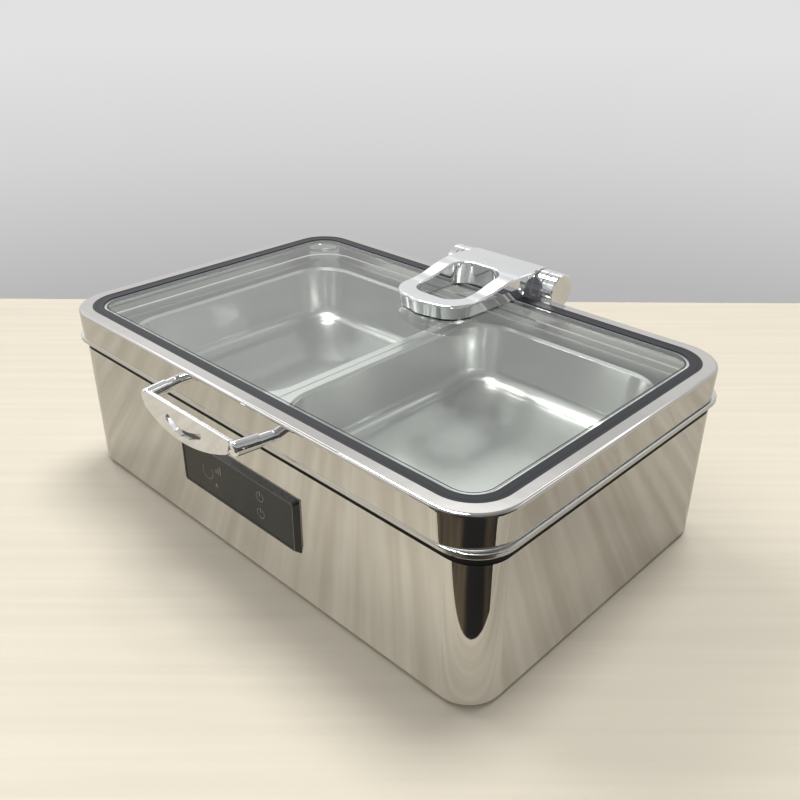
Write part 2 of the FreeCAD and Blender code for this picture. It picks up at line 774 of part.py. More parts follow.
def hinge_end_caps():
    """Two round caps with a groove and a chamfered face, bored blind for the pin's ends."""
    groove = CAP_IN + 5.5
    far = groove + CAP_GROOVE_WIDE
    outline = [
        Vector(CAP_IN, 0, 0),
        Vector(CAP_IN, 0, CHEEK_R - 1),
        Vector(CAP_IN + 1, 0, CHEEK_R),
        Vector(groove, 0, CHEEK_R),
        Vector(groove, 0, CHEEK_R - CAP_GROOVE),
        Vector(far, 0, CHEEK_R - CAP_GROOVE),
        Vector(far, 0, CHEEK_R),
        Vector(CAP_OUT - CAP_EDGE, 0, CHEEK_R),
        Vector(CAP_OUT, 0, CHEEK_R - CAP_EDGE),
        Vector(CAP_OUT, 0, 0),
        Vector(CAP_IN, 0, 0),
    ]
    cap = Part.Face(Part.makePolygon(outline)).revolve(Vector(0, 0, 0), ALONG, 360)
    cap.translate(Vector(0, AXIS_Y, AXIS_Z))
    cap = cap.cut(along_x(PIN_R, CAP_IN - 1, CAP_OUT - 6))
    return pair(cap)


def hinge_bracket():
    """Cast bracket: a pad on the rear wall, a neck behind the flange and two cheeks round the pin."""
    wall = HOUSING_Y
    clear = FLANGE_Y + 2.0
    neck_back = AXIS_Y + 14
    pad_low = BRACKET_Z - 28
    pad_high = BRACKET_Z + 30
    profile = [
        line(yz(wall, pad_low), yz(wall, pad_high)),
        line(yz(wall, pad_high), yz(clear, pad_high + 6)),
        line(yz(clear, pad_high + 6), yz(clear, AXIS_Z - 12)),
        line(yz(clear, AXIS_Z - 12), yz(AXIS_Y, AXIS_Z)),
        line(yz(AXIS_Y, AXIS_Z), yz(neck_back + 4, AXIS_Z - 6)),
        bezier(
            yz(neck_back + 4, AXIS_Z - 6),
            yz(neck_back, BRACKET_Z + 40),
            yz(wall + 12, BRACKET_Z + 20),
            yz(wall + 9, pad_low + 5),
        ),
        line(yz(wall + 9, pad_low + 5), yz(wall + 6, pad_low)),
        line(yz(wall + 6, pad_low), yz(wall, pad_low)),
    ]
    neck = side_profile(profile, CHEEK_OUT)
    cheek = along_x(CHEEK_R, CHEEK_IN, CHEEK_OUT)
    sweep = along_x(KNUCKLE_R + 1.2, -CHEEK_IN, CHEEK_IN)
    opening = cuboid(-CHEEK_IN, CHEEK_IN, AXIS_Y - 40, AXIS_Y + 40, AXIS_Z - 6, AXIS_Z + 40)
    recess = block(36, 20, 8, pad_low + 2, AXIS_Z - 20, 0, AXIS_Y + 13)
    bracket = neck.fuse([cheek, mirrored(cheek)]).cut([sweep, opening, recess, along_x(PIN_R, -80, 80)])
    cutters = []
    for x, z in bracket_screw_places():
        cutters.append(rod(2.75, Vector(x, wall - 1, z), Vector(x, wall + 60, z)))
        cutters.append(rod(5.2, Vector(x, wall + 5, z), Vector(x, wall + 60, z)))
    return bracket.cut(cutters).removeSplitter()


def bracket_screws():
    """Four socket screws that hold the bracket to the nut plate inside the wall."""
    screws = []
    for x, z in bracket_screw_places():
        screws.append(dome_screw(x, HOUSING_Y + 5, z, 4.6, 3.0, 2.4, 12.0, -BACK))
    return Part.makeCompound(screws)


def nut_plate():
    """Stiffening plate inside the rear wall with four tapped holes."""
    back = HOUSING_Y - SHEET
    plate = cuboid(-55, 55, back - 4, back, BRACKET_Z - 28, BRACKET_Z + 28)
    holes = [rod(2.4, Vector(x, back - 10, z), Vector(x, back + 5, z)) for x, z in bracket_screw_places()]
    return plate.cut(holes)


# Control panel


def panel_bezel():
    """Bevelled frame on the front wall with a collar through the window."""
    mid_z = (PANEL_LOW + PANEL_HIGH) / 2
    half_z = (PANEL_HIGH - PANEL_LOW) / 2
    outer = (PANEL_X, half_z, 4.0, 0.0)
    front = (PANEL_X - PANEL_BEVEL, half_z - PANEL_BEVEL, 2.5, PANEL_PROUD)
    frame = taper(outer, front)
    edge = PANEL_BEVEL + 1.2
    collar = block(PANEL_X - edge, half_z - edge, 0.5, -PANEL_DEEP, 0.5)
    glass = block(PANEL_X - edge - 1, half_z - edge - 1, 1.5, PANEL_PROUD - 3.4, PANEL_PROUD + 1)
    through = block(PANEL_X - edge - 3, half_z - edge - 3, 1.5, -PANEL_DEEP - 1, PANEL_PROUD)
    bezel = frame.fuse(collar).cut([glass, through])
    return on_front_wall(bezel, mid_z)


def on_front_wall(shape, z):
    """Turn a shape built flat so that its up side faces out of the front wall at a height."""
    shape.rotate(Vector(0, 0, 0), ALONG, 90)
    shape.translate(Vector(0, -HOUSING_Y, z))
    return shape


def panel_glass():
    """Dark touch glass, set just inside the bezel."""
    half_z = (PANEL_HIGH - PANEL_LOW) / 2
    edge = PANEL_BEVEL + 2.2
    glass = block(PANEL_X - edge - 0.1, half_z - edge - 0.1, 1.4, PANEL_PROUD - 3.4, PANEL_PROUD - 0.4)
    return on_front_wall(glass, (PANEL_LOW + PANEL_HIGH) / 2)


def control_board():
    """Circuit board that closes the back of the bezel's collar."""
    board = block(PANEL_X - 6, (PANEL_HIGH - PANEL_LOW) / 2 - 6, 2, -PANEL_DEEP - 1.6, -PANEL_DEEP)
    return on_front_wall(board, (PANEL_LOW + PANEL_HIGH) / 2)


def display_module():
    """Digit display between the board and the glass."""
    module = cuboid(-56, -18, -7, 7, -PANEL_DEEP, PANEL_PROUD - 3.8)
    return on_front_wall(module, (PANEL_LOW + PANEL_HIGH) / 2)


def touch_pads():
    """Conductive foam pads that couple the board to the glass."""
    pads = []
    for x in (30, 60):
        for y in (-9, 9):
            pads.append(rod(4.5, Vector(x, y, -PANEL_DEEP), Vector(x, y, PANEL_PROUD - 3.4)))
    return on_front_wall(Part.makeCompound(pads), (PANEL_LOW + PANEL_HIGH) / 2)


# Heating module


def insulation_sheet():
    """Mica disc pressed against the underside of the well."""
    disc = Part.makeCylinder(COIL_R + 6, 1.4, Vector(0, 0, WELL_FLOOR - 1.4))
    return disc.cut(Part.makeCylinder(8, 4, Vector(0, 0, WELL_FLOOR - 3)))


def coil():
    """Flat winding, drawn as one ring with a groove between its two layers."""
    high = WELL_FLOOR - 1.4
    thick = 5.0
    outline = [
        Vector(COIL_HOLE_R, 0, high - thick),
        Vector(COIL_R, 0, high - thick),
        Vector(COIL_R, 0, high - thick / 2 - 0.4),
        Vector(COIL_R - 1, 0, high - thick / 2),
        Vector(COIL_R, 0, high - thick / 2 + 0.4),
        Vector(COIL_R, 0, high),
        Vector(COIL_HOLE_R, 0, high),
        Vector(COIL_HOLE_R, 0, high - thick),
    ]
    return Part.Face(Part.makePolygon(outline)).revolve(Vector(0, 0, 0), UP, 360)


def coil_tray():
    """Plastic former: two hoops joined by eight spokes, each with a channel for a ferrite bar."""
    high = WELL_FLOOR - 6.4
    thick = 4.0
    hoop = Part.makeCylinder(COIL_R + 5, thick, Vector(0, 0, high - thick))
    hoop = hoop.cut(Part.makeCylinder(COIL_R - 5, thick + 2, Vector(0, 0, high - thick - 1)))
    hub = Part.makeCylinder(COIL_HOLE_R + 6, thick, Vector(0, 0, high - thick))
    hub = hub.cut(Part.makeCylinder(COIL_HOLE_R - 8, thick + 2, Vector(0, 0, high - thick - 1)))
    spokes = []
    for number in range(8):
        spoke = cuboid(COIL_HOLE_R + 2, COIL_R - 2, -8, 8, high - thick, high)
        spoke = spoke.cut(cuboid(COIL_HOLE_R + 9, COIL_R - 7, -6, 6, high - thick - 1, high - 1))
        spoke.rotate(Vector(0, 0, 0), UP, 45 * number + 22.5)
        spokes.append(spoke)
    return hoop.fuse([hub] + spokes).removeSplitter()


def ferrite_bars():
    """Eight bars that lie in the channels of the tray."""
    high = WELL_FLOOR - 7.4
    bars = []
    for number in range(8):
        bar = cuboid(COIL_HOLE_R + 10, COIL_R - 8, -5.8, 5.8, WELL_FLOOR - COIL_STACK, high)
        bar.rotate(Vector(0, 0, 0), UP, 45 * number + 22.5)
        bars.append(bar)
    return Part.makeCompound(bars)


def coil_support():
    """Aluminium sheet under the tray on four folded legs."""
    high = WELL_FLOOR - COIL_STACK
    half = 106.0
    plate = block(half, half, 12, high - 1.5, high)
    legs = []
    floor = BASE_PLATE_Z + SHEET
    for sx in (-1, 1):
        for sy in (-1, 1):
            x = sx * (half - 16)
            leg = cuboid(x - 10, x + 10, sy * half - 0.75, sy * half + 0.75, floor, high)
            toe = cuboid(x - 10, x + 10, sy * half - 7, sy * half + 7, floor, floor + 1.5)
            legs += [leg, toe]
    return plate.fuse(legs).removeSplitter()


def temperature_sensor():
    """Sensor button under the well, on a stem that stands on the coil support."""
    button = Part.makeCylinder(6, 4, Vector(0, 0, WELL_FLOOR - 4))
    stem = Part.makeCylinder(3.5, 10, Vector(0, 0, WELL_FLOOR - COIL_STACK))
    return button.fuse(stem)


def power_board():
    """Inverter circuit board on the left of the base."""
    return cuboid(BOARD_X - 72, BOARD_X + 68, -60, 60, BOARD_LOW, BOARD_TOP)


def board_posts():
    """Four posts that carry the power board."""
    floor = BASE_PLATE_Z + SHEET
    posts = []
    for x in (BOARD_X - 66, BOARD_X + 62):
        for y in (-54, 54):
            posts.append(rod(3.2, Vector(x, y, floor), Vector(x, y, BOARD_LOW)))
    return Part.makeCompound(posts)


def heat_sink():
    """Finned block on the power board."""
    start = BOARD_X - 62
    end = start + 70
    foot = BOARD_TOP + 4.4
    base = cuboid(start, end, -26, 26, BOARD_TOP, foot)
    fins = []
    for number in range(9):
        y = -25 + number * 6.0
        fins.append(cuboid(start, end, y, y + 2, foot, foot + 22))
    return base.fuse(fins).removeSplitter()


def board_components():
    """Filter capacitor, resonant capacitor and choke on the power board."""
    film = block(16, 9, 1.5, BOARD_TOP, 38, BOARD_X + 36, -38)
    second = block(13, 8, 1.5, BOARD_TOP, 34, BOARD_X + 36, -14)
    choke = Part.makeCylinder(14, 20, Vector(BOARD_X + 40, 32, BOARD_TOP))
    choke = choke.cut(Part.makeCylinder(6, 30, Vector(BOARD_X + 40, 32, BOARD_TOP + 2)))
    return Part.makeCompound([film, second, choke])


def fan_frame():
    """Square fan housing with a round duct, a hub on three struts and four corner holes."""
    floor = BASE_PLATE_Z + SHEET
    half = FAN_HALF
    body = block(half, half, 5, floor, floor + FAN_HEIGHT, FAN_X)
    centre = Vector(FAN_X, 0, floor)
    duct = Part.makeCylinder(half - 2.5, FAN_HEIGHT + 2, centre - UP)
    cutters = [duct]
    for sx in (-1, 1):
        for sy in (-1, 1):
            at = centre + Vector(sx * (half - 4.5), sy * (half - 4.5), -1)
            cutters.append(Part.makeCylinder(1.9, FAN_HEIGHT + 2, at))
    hub = Part.makeCylinder(15, 3, centre)
    struts = []
    for number in range(3):
        strut = cuboid(13, half - 1, -1.5, 1.5, floor, floor + 3)
        strut.rotate(Vector(0, 0, 0), UP, 120 * number + 30)
        strut.translate(Vector(FAN_X, 0, 0))
        struts.append(strut)
    post = Part.makeCylinder(2.0, 14, centre)
    return body.cut(cutters).fuse([hub, post] + struts).removeSplitter()


def fan_impeller():
    """Hub cup with seven pitched blades, running on the post of the frame."""
    floor = BASE_PLATE_Z + SHEET
    low = floor + 4.0
    high = floor + FAN_HEIGHT - 1.5
    cup = Part.makeCylinder(14, high - low, Vector(0, 0, low))
    blades = []
    for number in range(7):
        blade = cuboid(12, FAN_HALF - 4.5, -0.8, 0.8, low + 1.5, high - 1)
        blade.rotate(Vector(0, 0, (low + high) / 2), ALONG, 38)
        blade.rotate(Vector(0, 0, 0), UP, 360 / 7 * number)
        blades.append(blade)
    bore = Part.makeCylinder(2.0 + RUNNING_GAP, 11, Vector(0, 0, low - 1))
    wheel = cup.fuse(blades).cut(bore).removeSplitter()
    wheel.translate(Vector(FAN_X, 0, 0))
    return wheel


def mains_inlet():
    """Three-pin appliance inlet: flange outside the rear wall, shell inside it, open towards the back."""
    flange = block(26, 11.5, 5, 0, 2.4)
    shell = block(14, 10, 3, -26, 0.5)
    mouth = block(12, 8, 2.5, -16, 3)
    inlet = flange.fuse(shell).cut(mouth)
    for x, _ in inlet_screw_places():
        inlet = inlet.cut(Part.makeCylinder(1.8, 6, Vector(x - INLET_X, 0, -1)))
    return on_rear_wall(inlet)


def on_rear_wall(shape):
    """Turn a shape built flat so that its up side faces out of the rear wall at the inlet."""
    shape.rotate(Vector(0, 0, 0), ALONG, -90)
    shape.translate(Vector(INLET_X, HOUSING_Y, INLET_Z))
    return shape


def inlet_pins():
    """Three flat contact pins inside the inlet."""
    pins = [cuboid(x - 1, x + 1, y - 2, y + 2, -16, -6) for x, y in ((-7, -2), (0, 3), (7, -2))]
    return on_rear_wall(Part.makeCompound(pins))


def inlet_screws():
    """Two screws through the inlet's flange."""
    screws = []
    for x, z in inlet_screw_places():
        screws.append(dome_screw(x, HOUSING_Y + 2.4, z, 3.2, 1.8, 1.75, 8.0, -BACK))
    return Part.makeCompound(screws)


def coil_leads():
    """Two leads from the rim of the coil tray down to the power board."""
    high = WELL_FLOOR - 9
    bend = 7.0
    turn_x = BOARD_X + 67
    leads = []
    for y in (-8, 8):
        start = Vector(-COIL_R - 4.95, y, high)
        turn = Vector(turn_x, y, high)
        down = Vector(turn_x - bend, y, high - bend)
        mid = Vector(turn_x - bend * math.sin(math.pi / 4), y, high - bend * (1 - math.cos(math.pi / 4)))
        end = Vector(turn_x - bend, y, BOARD_TOP)
        path = Part.Wire([line(start, turn), arc(turn, mid, down), line(down, end)])
        section = Part.Wire(Part.Circle(start, ALONG, 2.2).toShape())
        leads.append(path.makePipeShell([section], True, False))
    return Part.makeCompound(leads)


NODES = {
    "housing": housing,
    "base_plate": base_plate,
    "base_screws": base_screws,
    "feet": feet,
    "water_pan": water_pan,
    "pan_seal": pan_seal,
    "food_pan_left": lambda: food_pan(-1),
    "food_pan_right": lambda: food_pan(1),
    "lid_frame": lid_frame,
    "lid_gasket": lid_gasket,
    "lid_glass": lid_glass,
    "lid_bumpers": lid_bumpers,
    "handle": handle,
    "handle_screws": handle_screws,
    "hinge_arm": hinge_arm,
    "arm_pad": arm_pad,
    "clamp_plate": clamp_plate,
    "clamp_screws": clamp_screws,
    "hinge_bushes": hinge_bushes,
    "hinge_damper": hinge_damper,
    "hinge_pin": hinge_pin,
    "hinge_end_caps": hinge_end_caps,
    "hinge_bracket": hinge_bracket,
    "bracket_screws": bracket_screws,
    "nut_plate": nut_plate,
    "panel_bezel": panel_bezel,
    "panel_glass": panel_glass,
    "control_board": control_board,
    "display_module": display_module,
    "touch_pads": touch_pads,
    "insulation_sheet": insulation_sheet,
    "coil": coil,
    "coil_tray": coil_tray,
    "ferrite_bars": ferrite_bars,
    "coil_support": coil_support,
    "temperature_sensor": temperature_sensor,
    "coil_leads": coil_leads,
    "power_board": power_board,
    "board_posts": board_posts,
    "heat_sink": heat_sink,
    "board_components": board_components,
    "fan_frame": fan_frame,
    "fan_impeller": fan_impeller,
    "mains_inlet": mains_inlet,
    "inlet_pins": inlet_pins,
    "inlet_screws": inlet_screws,
}


def main():
    """Build every piece, report it, and write one file for each."""
    os.makedirs("parts", exist_ok=True)
    for name, make in NODES.items():
        shape = make()
        state = "valid" if shape.isValid() else "NOT VALID"
        print(f"{name}: {len(shape.Solids)} solids, {shape.Volume / 1000:.1f} cm3, {state}")
        shape.exportStep(f"parts/{name}.step")


main()
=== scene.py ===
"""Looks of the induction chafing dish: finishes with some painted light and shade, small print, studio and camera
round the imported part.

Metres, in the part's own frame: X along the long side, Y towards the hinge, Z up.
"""

import json
import logging
import math
from dataclasses import dataclass, field
from enum import Enum
from functools import cache

import bpy
from mathutils import Matrix, Vector


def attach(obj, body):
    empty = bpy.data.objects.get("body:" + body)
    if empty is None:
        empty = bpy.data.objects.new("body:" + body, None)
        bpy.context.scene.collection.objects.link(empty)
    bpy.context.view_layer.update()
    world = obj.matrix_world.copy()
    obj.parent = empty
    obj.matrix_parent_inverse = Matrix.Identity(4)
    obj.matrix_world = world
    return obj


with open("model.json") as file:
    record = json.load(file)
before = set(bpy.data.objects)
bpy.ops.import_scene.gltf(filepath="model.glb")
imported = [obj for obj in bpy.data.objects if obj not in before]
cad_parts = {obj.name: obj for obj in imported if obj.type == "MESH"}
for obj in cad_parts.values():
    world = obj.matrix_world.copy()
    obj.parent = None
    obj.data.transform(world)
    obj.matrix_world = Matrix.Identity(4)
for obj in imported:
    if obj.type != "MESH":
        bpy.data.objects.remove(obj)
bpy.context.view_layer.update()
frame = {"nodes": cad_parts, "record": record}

LOG = logging.getLogger("chafing_dish")
Tree = bpy.types.NodeTree
Socket = bpy.types.NodeSocket
Node = bpy.types.Node
Material = bpy.types.Material
Pair = tuple[float, float]
Point = tuple[float, float, float]
Rgb = tuple[float, float, float]
Face = tuple[int, ...]
BLACK: Rgb = (0.0, 0.0, 0.0)
DAYLIGHT: Rgb = (1.0, 0.985, 0.96)


class Body(Enum):
    """Bodies that the scene's own pieces ride on."""

    BASE = "base"


class Grain(Enum):
    """Ways a brushed or rolled surface can run, as stretches of the noise that draws it."""

    ALONG_X = (6.0, 260.0, 260.0)
    EVEN = (90.0, 90.0, 90.0)


# Shader helpers


def link(tree: Tree, source: Socket, target: Socket) -> None:
    """Join two sockets of one tree."""
    tree.links.new(source, target)


def feed(tree: Tree, value: object, target: Socket) -> None:
    """Give a socket its value.

    Args:
        tree: The socket's tree.
        value: Another socket, which is joined to it, or a plain value, which is set on it.
        target: The socket.
    """
    if isinstance(value, Socket):
        link(tree, value, target)
    else:
        target.default_value = value


def maths(tree: Tree, operation: str, a: float | Socket, b: float | Socket = 0.0, clamp: bool = False) -> Socket:
    """Add a maths node.

    Args:
        tree: Tree to add it to.
        operation: Blender's name of the operation.
        a: First input.
        b: Second input.
        clamp: Whether the result is kept from 0 to 1.

    Returns:
        The result's socket.
    """
    node = tree.nodes.new("ShaderNodeMath")
    node.operation = operation
    node.use_clamp = clamp
    feed(tree, a, node.inputs[0])
    feed(tree, b, node.inputs[1])
    return node.outputs[0]


def vectors(tree: Tree, operation: str, a: Socket, b: Socket | Vector, second: int | str = 1) -> Socket:
    """Add a vector maths node.

    Args:
        tree: Tree to add it to.
        operation: Blender's name of the operation.
        a: First input.
        b: Second input.
        second: Number or name of the socket that takes the second input.

    Returns:
        The result's socket: a value for a dot product, otherwise a vector.
    """
    node = tree.nodes.new("ShaderNodeVectorMath")
    node.operation = operation
    link(tree, a, node.inputs[0])
    feed(tree, b, node.inputs[second])
    return node.outputs["Value" if operation == "DOT_PRODUCT" else "Vector"]


def scaled(tree: Tree, colour: Socket, factor: Socket) -> Socket:
    """A colour times a factor."""
    return vectors(tree, "SCALE", colour, factor, "Scale")


def sharpened(tree: Tree, value: Socket, level: float, gain: float) -> Socket:
    """A value's rise above a level, times a gain and held from 0 to 1."""
    return maths(tree, "MULTIPLY", maths(tree, "SUBTRACT", value, level), gain, clamp=True)


def span(
    tree: Tree,
    value: Socket,
    start: float | Socket = 0.0,
    end: float = 1.0,
    first: float = 0.0,
    last: float = 1.0,
    ease: bool = False,
) -> Socket:
    """Turn a value's range into another range, held at its ends.

    Args:
        tree: Tree to add it to.
        value: The value.
        start: Where its range starts.
        end: Where its range ends.
        first: Result at the start.
        last: Result at the end.
        ease: Whether the change is slow at both ends.

    Returns:
        The result's socket.
    """
    node = tree.nodes.new("ShaderNodeMapRange")
    node.interpolation_type = "SMOOTHSTEP" if ease else "LINEAR"
    given = {"Value": value, "From Min": start, "From Max": end, "To Min": first, "To Max": last}
    for name, number in given.items():
        feed(tree, number, node.inputs[name])
    return node.outputs["Result"]


def blend(tree: Tree, mask: Socket, first: Rgb | Socket, second: Rgb | Socket) -> Socket:
    """Mix two colours by a mask.

    Args:
        tree: Tree to add it to.
        mask: Where the second colour shows.
        first: First colour.
        second: Second colour.

    Returns:
        The colour's socket.
    """
    mix = tree.nodes.new("ShaderNodeMix")
    mix.data_type = "RGBA"
    factor, colour_a, colour_b = mix.inputs[0], mix.inputs[6], mix.inputs[7]
    link(tree, mask, factor)
    for colour, target in ((first, colour_a), (second, colour_b)):
        feed(tree, colour if isinstance(colour, Socket) else (*colour, 1.0), target)
    return mix.outputs[2]


def shade(tint: Rgb, factor: float, lift: float = 0.0) -> Rgb:
    """A lighter or darker colour: each part times a factor, lifted, and 1 at most."""
    return tuple(min(1.0, factor * part + lift) for part in tint)


def object_place(tree: Tree) -> Socket:
    """Object coordinates, which are metres in the part's frame."""
    return tree.nodes.new("ShaderNodeTexCoord").outputs["Object"]


def upward(tree: Tree, vector: Socket) -> Socket:
    """Take the upward part of a vector.

    Args:
        tree: Tree to build in.
        vector: The vector.

    Returns:
        The part's socket.
    """
    split = tree.nodes.new("ShaderNodeSeparateXYZ")
    link(tree, vector, split.inputs[0])
    return split.outputs["Z"]


def face_up(tree: Tree) -> Socket:
    """How far a face looks up, from -1 to 1."""
    return upward(tree, tree.nodes.new("ShaderNodeNewGeometry").outputs["Normal"])


def stretched(tree: Tree, stretch: Socket) -> Socket:
    """Object coordinates times a stretch, so that a noise can run one way."""
    return vectors(tree, "MULTIPLY", object_place(tree), stretch)


def turned(tree: Tree, place: Socket, turn: Point, scale: Point, kind: str = "POINT") -> Socket:
    """Turn and scale coordinates.

    Args:
        tree: Tree to add the mapping to.
        place: The coordinates.
        turn: Angles about X, Y and Z.
        scale: Factors along X, Y and Z.
        kind: Blender's name of the kind of mapping.

    Returns:
        The new coordinates' socket.
    """
    node = tree.nodes.new("ShaderNodeMapping")
    node.vector_type = kind
    for name, value in (("Vector", place), ("Rotation", turn), ("Scale", scale)):
        feed(tree, value, node.inputs[name])
    return node.outputs[0]


def noise(tree: Tree, where: Socket, scale: float | Socket, detail: float) -> Socket:
    """Add a noise texture.

    Args:
        tree: Tree to add it to.
        where: Coordinates that it is drawn in.
        scale: How often it changes.
        detail: How many finer layers it has.

    Returns:
        Its value socket.
    """
    node = tree.nodes.new("ShaderNodeTexNoise")
    for name, value in (("Vector", where), ("Scale", scale), ("Detail", detail)):
        feed(tree, value, node.inputs[name])
    return node.outputs["Fac"]


# Shared effects


def new_group(name: str, inputs: dict[str, float | Point], outputs: tuple[str, ...]) -> tuple[Tree, Node, Node]:
    """Start a shader group.

    Args:
        name: Name of the group.
        inputs: Socket names with their default values; a tuple makes a vector socket.
        outputs: Names of the value sockets that it gives.

    Returns:
        The group, its input node and its output node.
    """
    group = bpy.data.node_groups.new(name, "ShaderNodeTree")
    for label, value in inputs.items():
        kind = "NodeSocketVector" if isinstance(value, tuple) else "NodeSocketFloat"
        socket = group.interface.new_socket(label, in_out="INPUT", socket_type=kind)
        socket.default_value = value
    for label in outputs:
        group.interface.new_socket(label, in_out="OUTPUT", socket_type="NodeSocketFloat")
    return group, group.nodes.new("NodeGroupInput"), group.nodes.new("NodeGroupOutput")


def sheet_ripple() -> Tree:
    """Make the slow waves that rolled and polished sheet keeps: a height.

    Returns:
        The group.
    """
    group, given, out = new_group("sheet_ripple", {"Stretch": (7.0, 7.0, 2.2), "Fine": 0.25}, ("Height",))
    where = stretched(group, given.outputs["Stretch"])
    slow = noise(group, where, scale=1.0, detail=1.0)
    quick = maths(group, "MULTIPLY", noise(group, where, scale=5.0, detail=2.0), given.outputs["Fine"])
    link(group, maths(group, "ADD", slow, quick), out.inputs["Height"])
    return group


def brushed_grain() -> Tree:
    """Make the fine one-way lines of brushed or drawn metal: a mask and a height.

    Returns:
        The group.
    """
    inputs = {"Stretch": Grain.ALONG_X.value, "Contrast": 1.0}
    group, given, out = new_group("brushed_grain", inputs, ("Mask", "Height"))
    where = stretched(group, given.outputs["Stretch"])
    coarse = noise(group, where, scale=1.0, detail=2.0)
    fine = noise(group, where, scale=6.0, detail=2.0)
    both = maths(group, "MULTIPLY", maths(group, "ADD", coarse, fine), 0.5)
    swing = maths(group, "MULTIPLY", maths(group, "SUBTRACT", both, 0.5), given.outputs["Contrast"])
    link(group, maths(group, "ADD", swing, 0.5, clamp=True), out.inputs["Mask"])
    link(group, both, out.inputs["Height"])
    return group


def handling_haze() -> Tree:
    """Make the patches where hands and cloths have dulled a polish: a mask.

    Returns:
        The group.
    """
    group, given, out = new_group("handling_haze", {"Size": 9.0, "Cover": 0.5}, ("Mask",))
    place = object_place(group)
    broad = noise(group, place, given.outputs["Size"], detail=3.0)
    streaks = turned(group, place, turn=(0.4, 0.7, 0.3), scale=(1.0, 1.0, 0.25))
    wiped = noise(group, streaks, scale=38.0, detail=4.0)
    both = maths(group, "MULTIPLY", broad, wiped)
    start = maths(group, "SUBTRACT", 0.42, maths(group, "MULTIPLY", given.outputs["Cover"], 0.3))
    link(group, span(group, both, start, end=0.5), out.inputs["Mask"])
    return group


def settled_dust() -> Tree:
    """Make the light dust on faces that look up: a mask.

    Returns:
        The group.
    """
    group, given, out = new_group("settled_dust", {"Amount": 0.1}, ("Mask",))
    place = object_place(group)
    grains = noise(group, place, scale=420.0, detail=4.0)
    drift = noise(group, place, scale=14.0, detail=3.0)
    level = maths(group, "MAXIMUM", face_up(group), 0.0)
    both = maths(group, "MULTIPLY", maths(group, "MULTIPLY", grains, drift), level)
    link(group, maths(group, "MULTIPLY", both, given.outputs["Amount"], clamp=True), out.inputs["Mask"])
    return group


def moulded_speckle() -> Tree:
    """Make the fine even texture of moulded plastic and rubber: a mask and a height.

    Returns:
        The group.
    """
    group, given, out = new_group("moulded_speckle", {"Scale": 900.0}, ("Mask", "Height"))
    place = object_place(group)
    cells = group.nodes.new("ShaderNodeTexVoronoi")
    link(group, place, cells.inputs["Vector"])
    link(group, given.outputs["Scale"], cells.inputs["Scale"])
    link(group, cells.outputs["Distance"], out.inputs["Height"])
    link(group, noise(group, place, scale=60.0, detail=4.0), out.inputs["Mask"])
    return group


def border_line() -> Tree:
    """Make a line that follows a rounded rectangle at a set distance inside it: a mask.

    Returns:
        The group.
    """
    sizes = {"Half X": 0.27, "Half Y": 0.17, "Radius": 0.03, "Start": 0.0, "Wide": 0.002}
    group, given, out = new_group("border_line", sizes, ("Mask",))
    split = group.nodes.new("ShaderNodeSeparateXYZ")
    link(group, object_place(group), split.inputs[0])
    over = []
    for axis, half in (("X", "Half X"), ("Y", "Half Y")):
        core = maths(group, "SUBTRACT", given.outputs[half], given.outputs["Radius"])
        over.append(maths(group, "SUBTRACT", maths(group, "ABSOLUTE", split.outputs[axis]), core))
    inside = maths(group, "MINIMUM", maths(group, "MAXIMUM", over[0], over[1]), 0.0)
    squares = [maths(group, "POWER", maths(group, "MAXIMUM", v, 0.0), 2.0) for v in over]
    reach = maths(group, "SQRT", maths(group, "ADD", squares[0], squares[1]))
    outline = maths(group, "SUBTRACT", maths(group, "ADD", reach, inside), given.outputs["Radius"])
    depth = maths(group, "MULTIPLY", outline, -1.0)
    end = maths(group, "ADD", given.outputs["Start"], given.outputs["Wide"])
    begun = maths(group, "GREATER_THAN", depth, given.outputs["Start"])
    link(group, maths(group, "MULTIPLY", begun, maths(group, "LESS_THAN", depth, end)), out.inputs["Mask"])
    return group


class Effect(Enum):
    """The shared effects, each built once."""

    RIPPLE = "sheet_ripple"
    BRUSHED = "brushed_grain"
    HAZE = "handling_haze"
    DUST = "settled_dust"
    SPECKLE = "moulded_speckle"
    BORDER = "border_line"

    def tree(self) -> Tree:
        """The effect's node group, made at its first use."""
        makers = (sheet_ripple, brushed_grain, handling_haze, settled_dust, moulded_speckle, border_line)
        return bpy.data.node_groups.get(self.value) or next(m for m in makers if m.__name__ == self.value)()


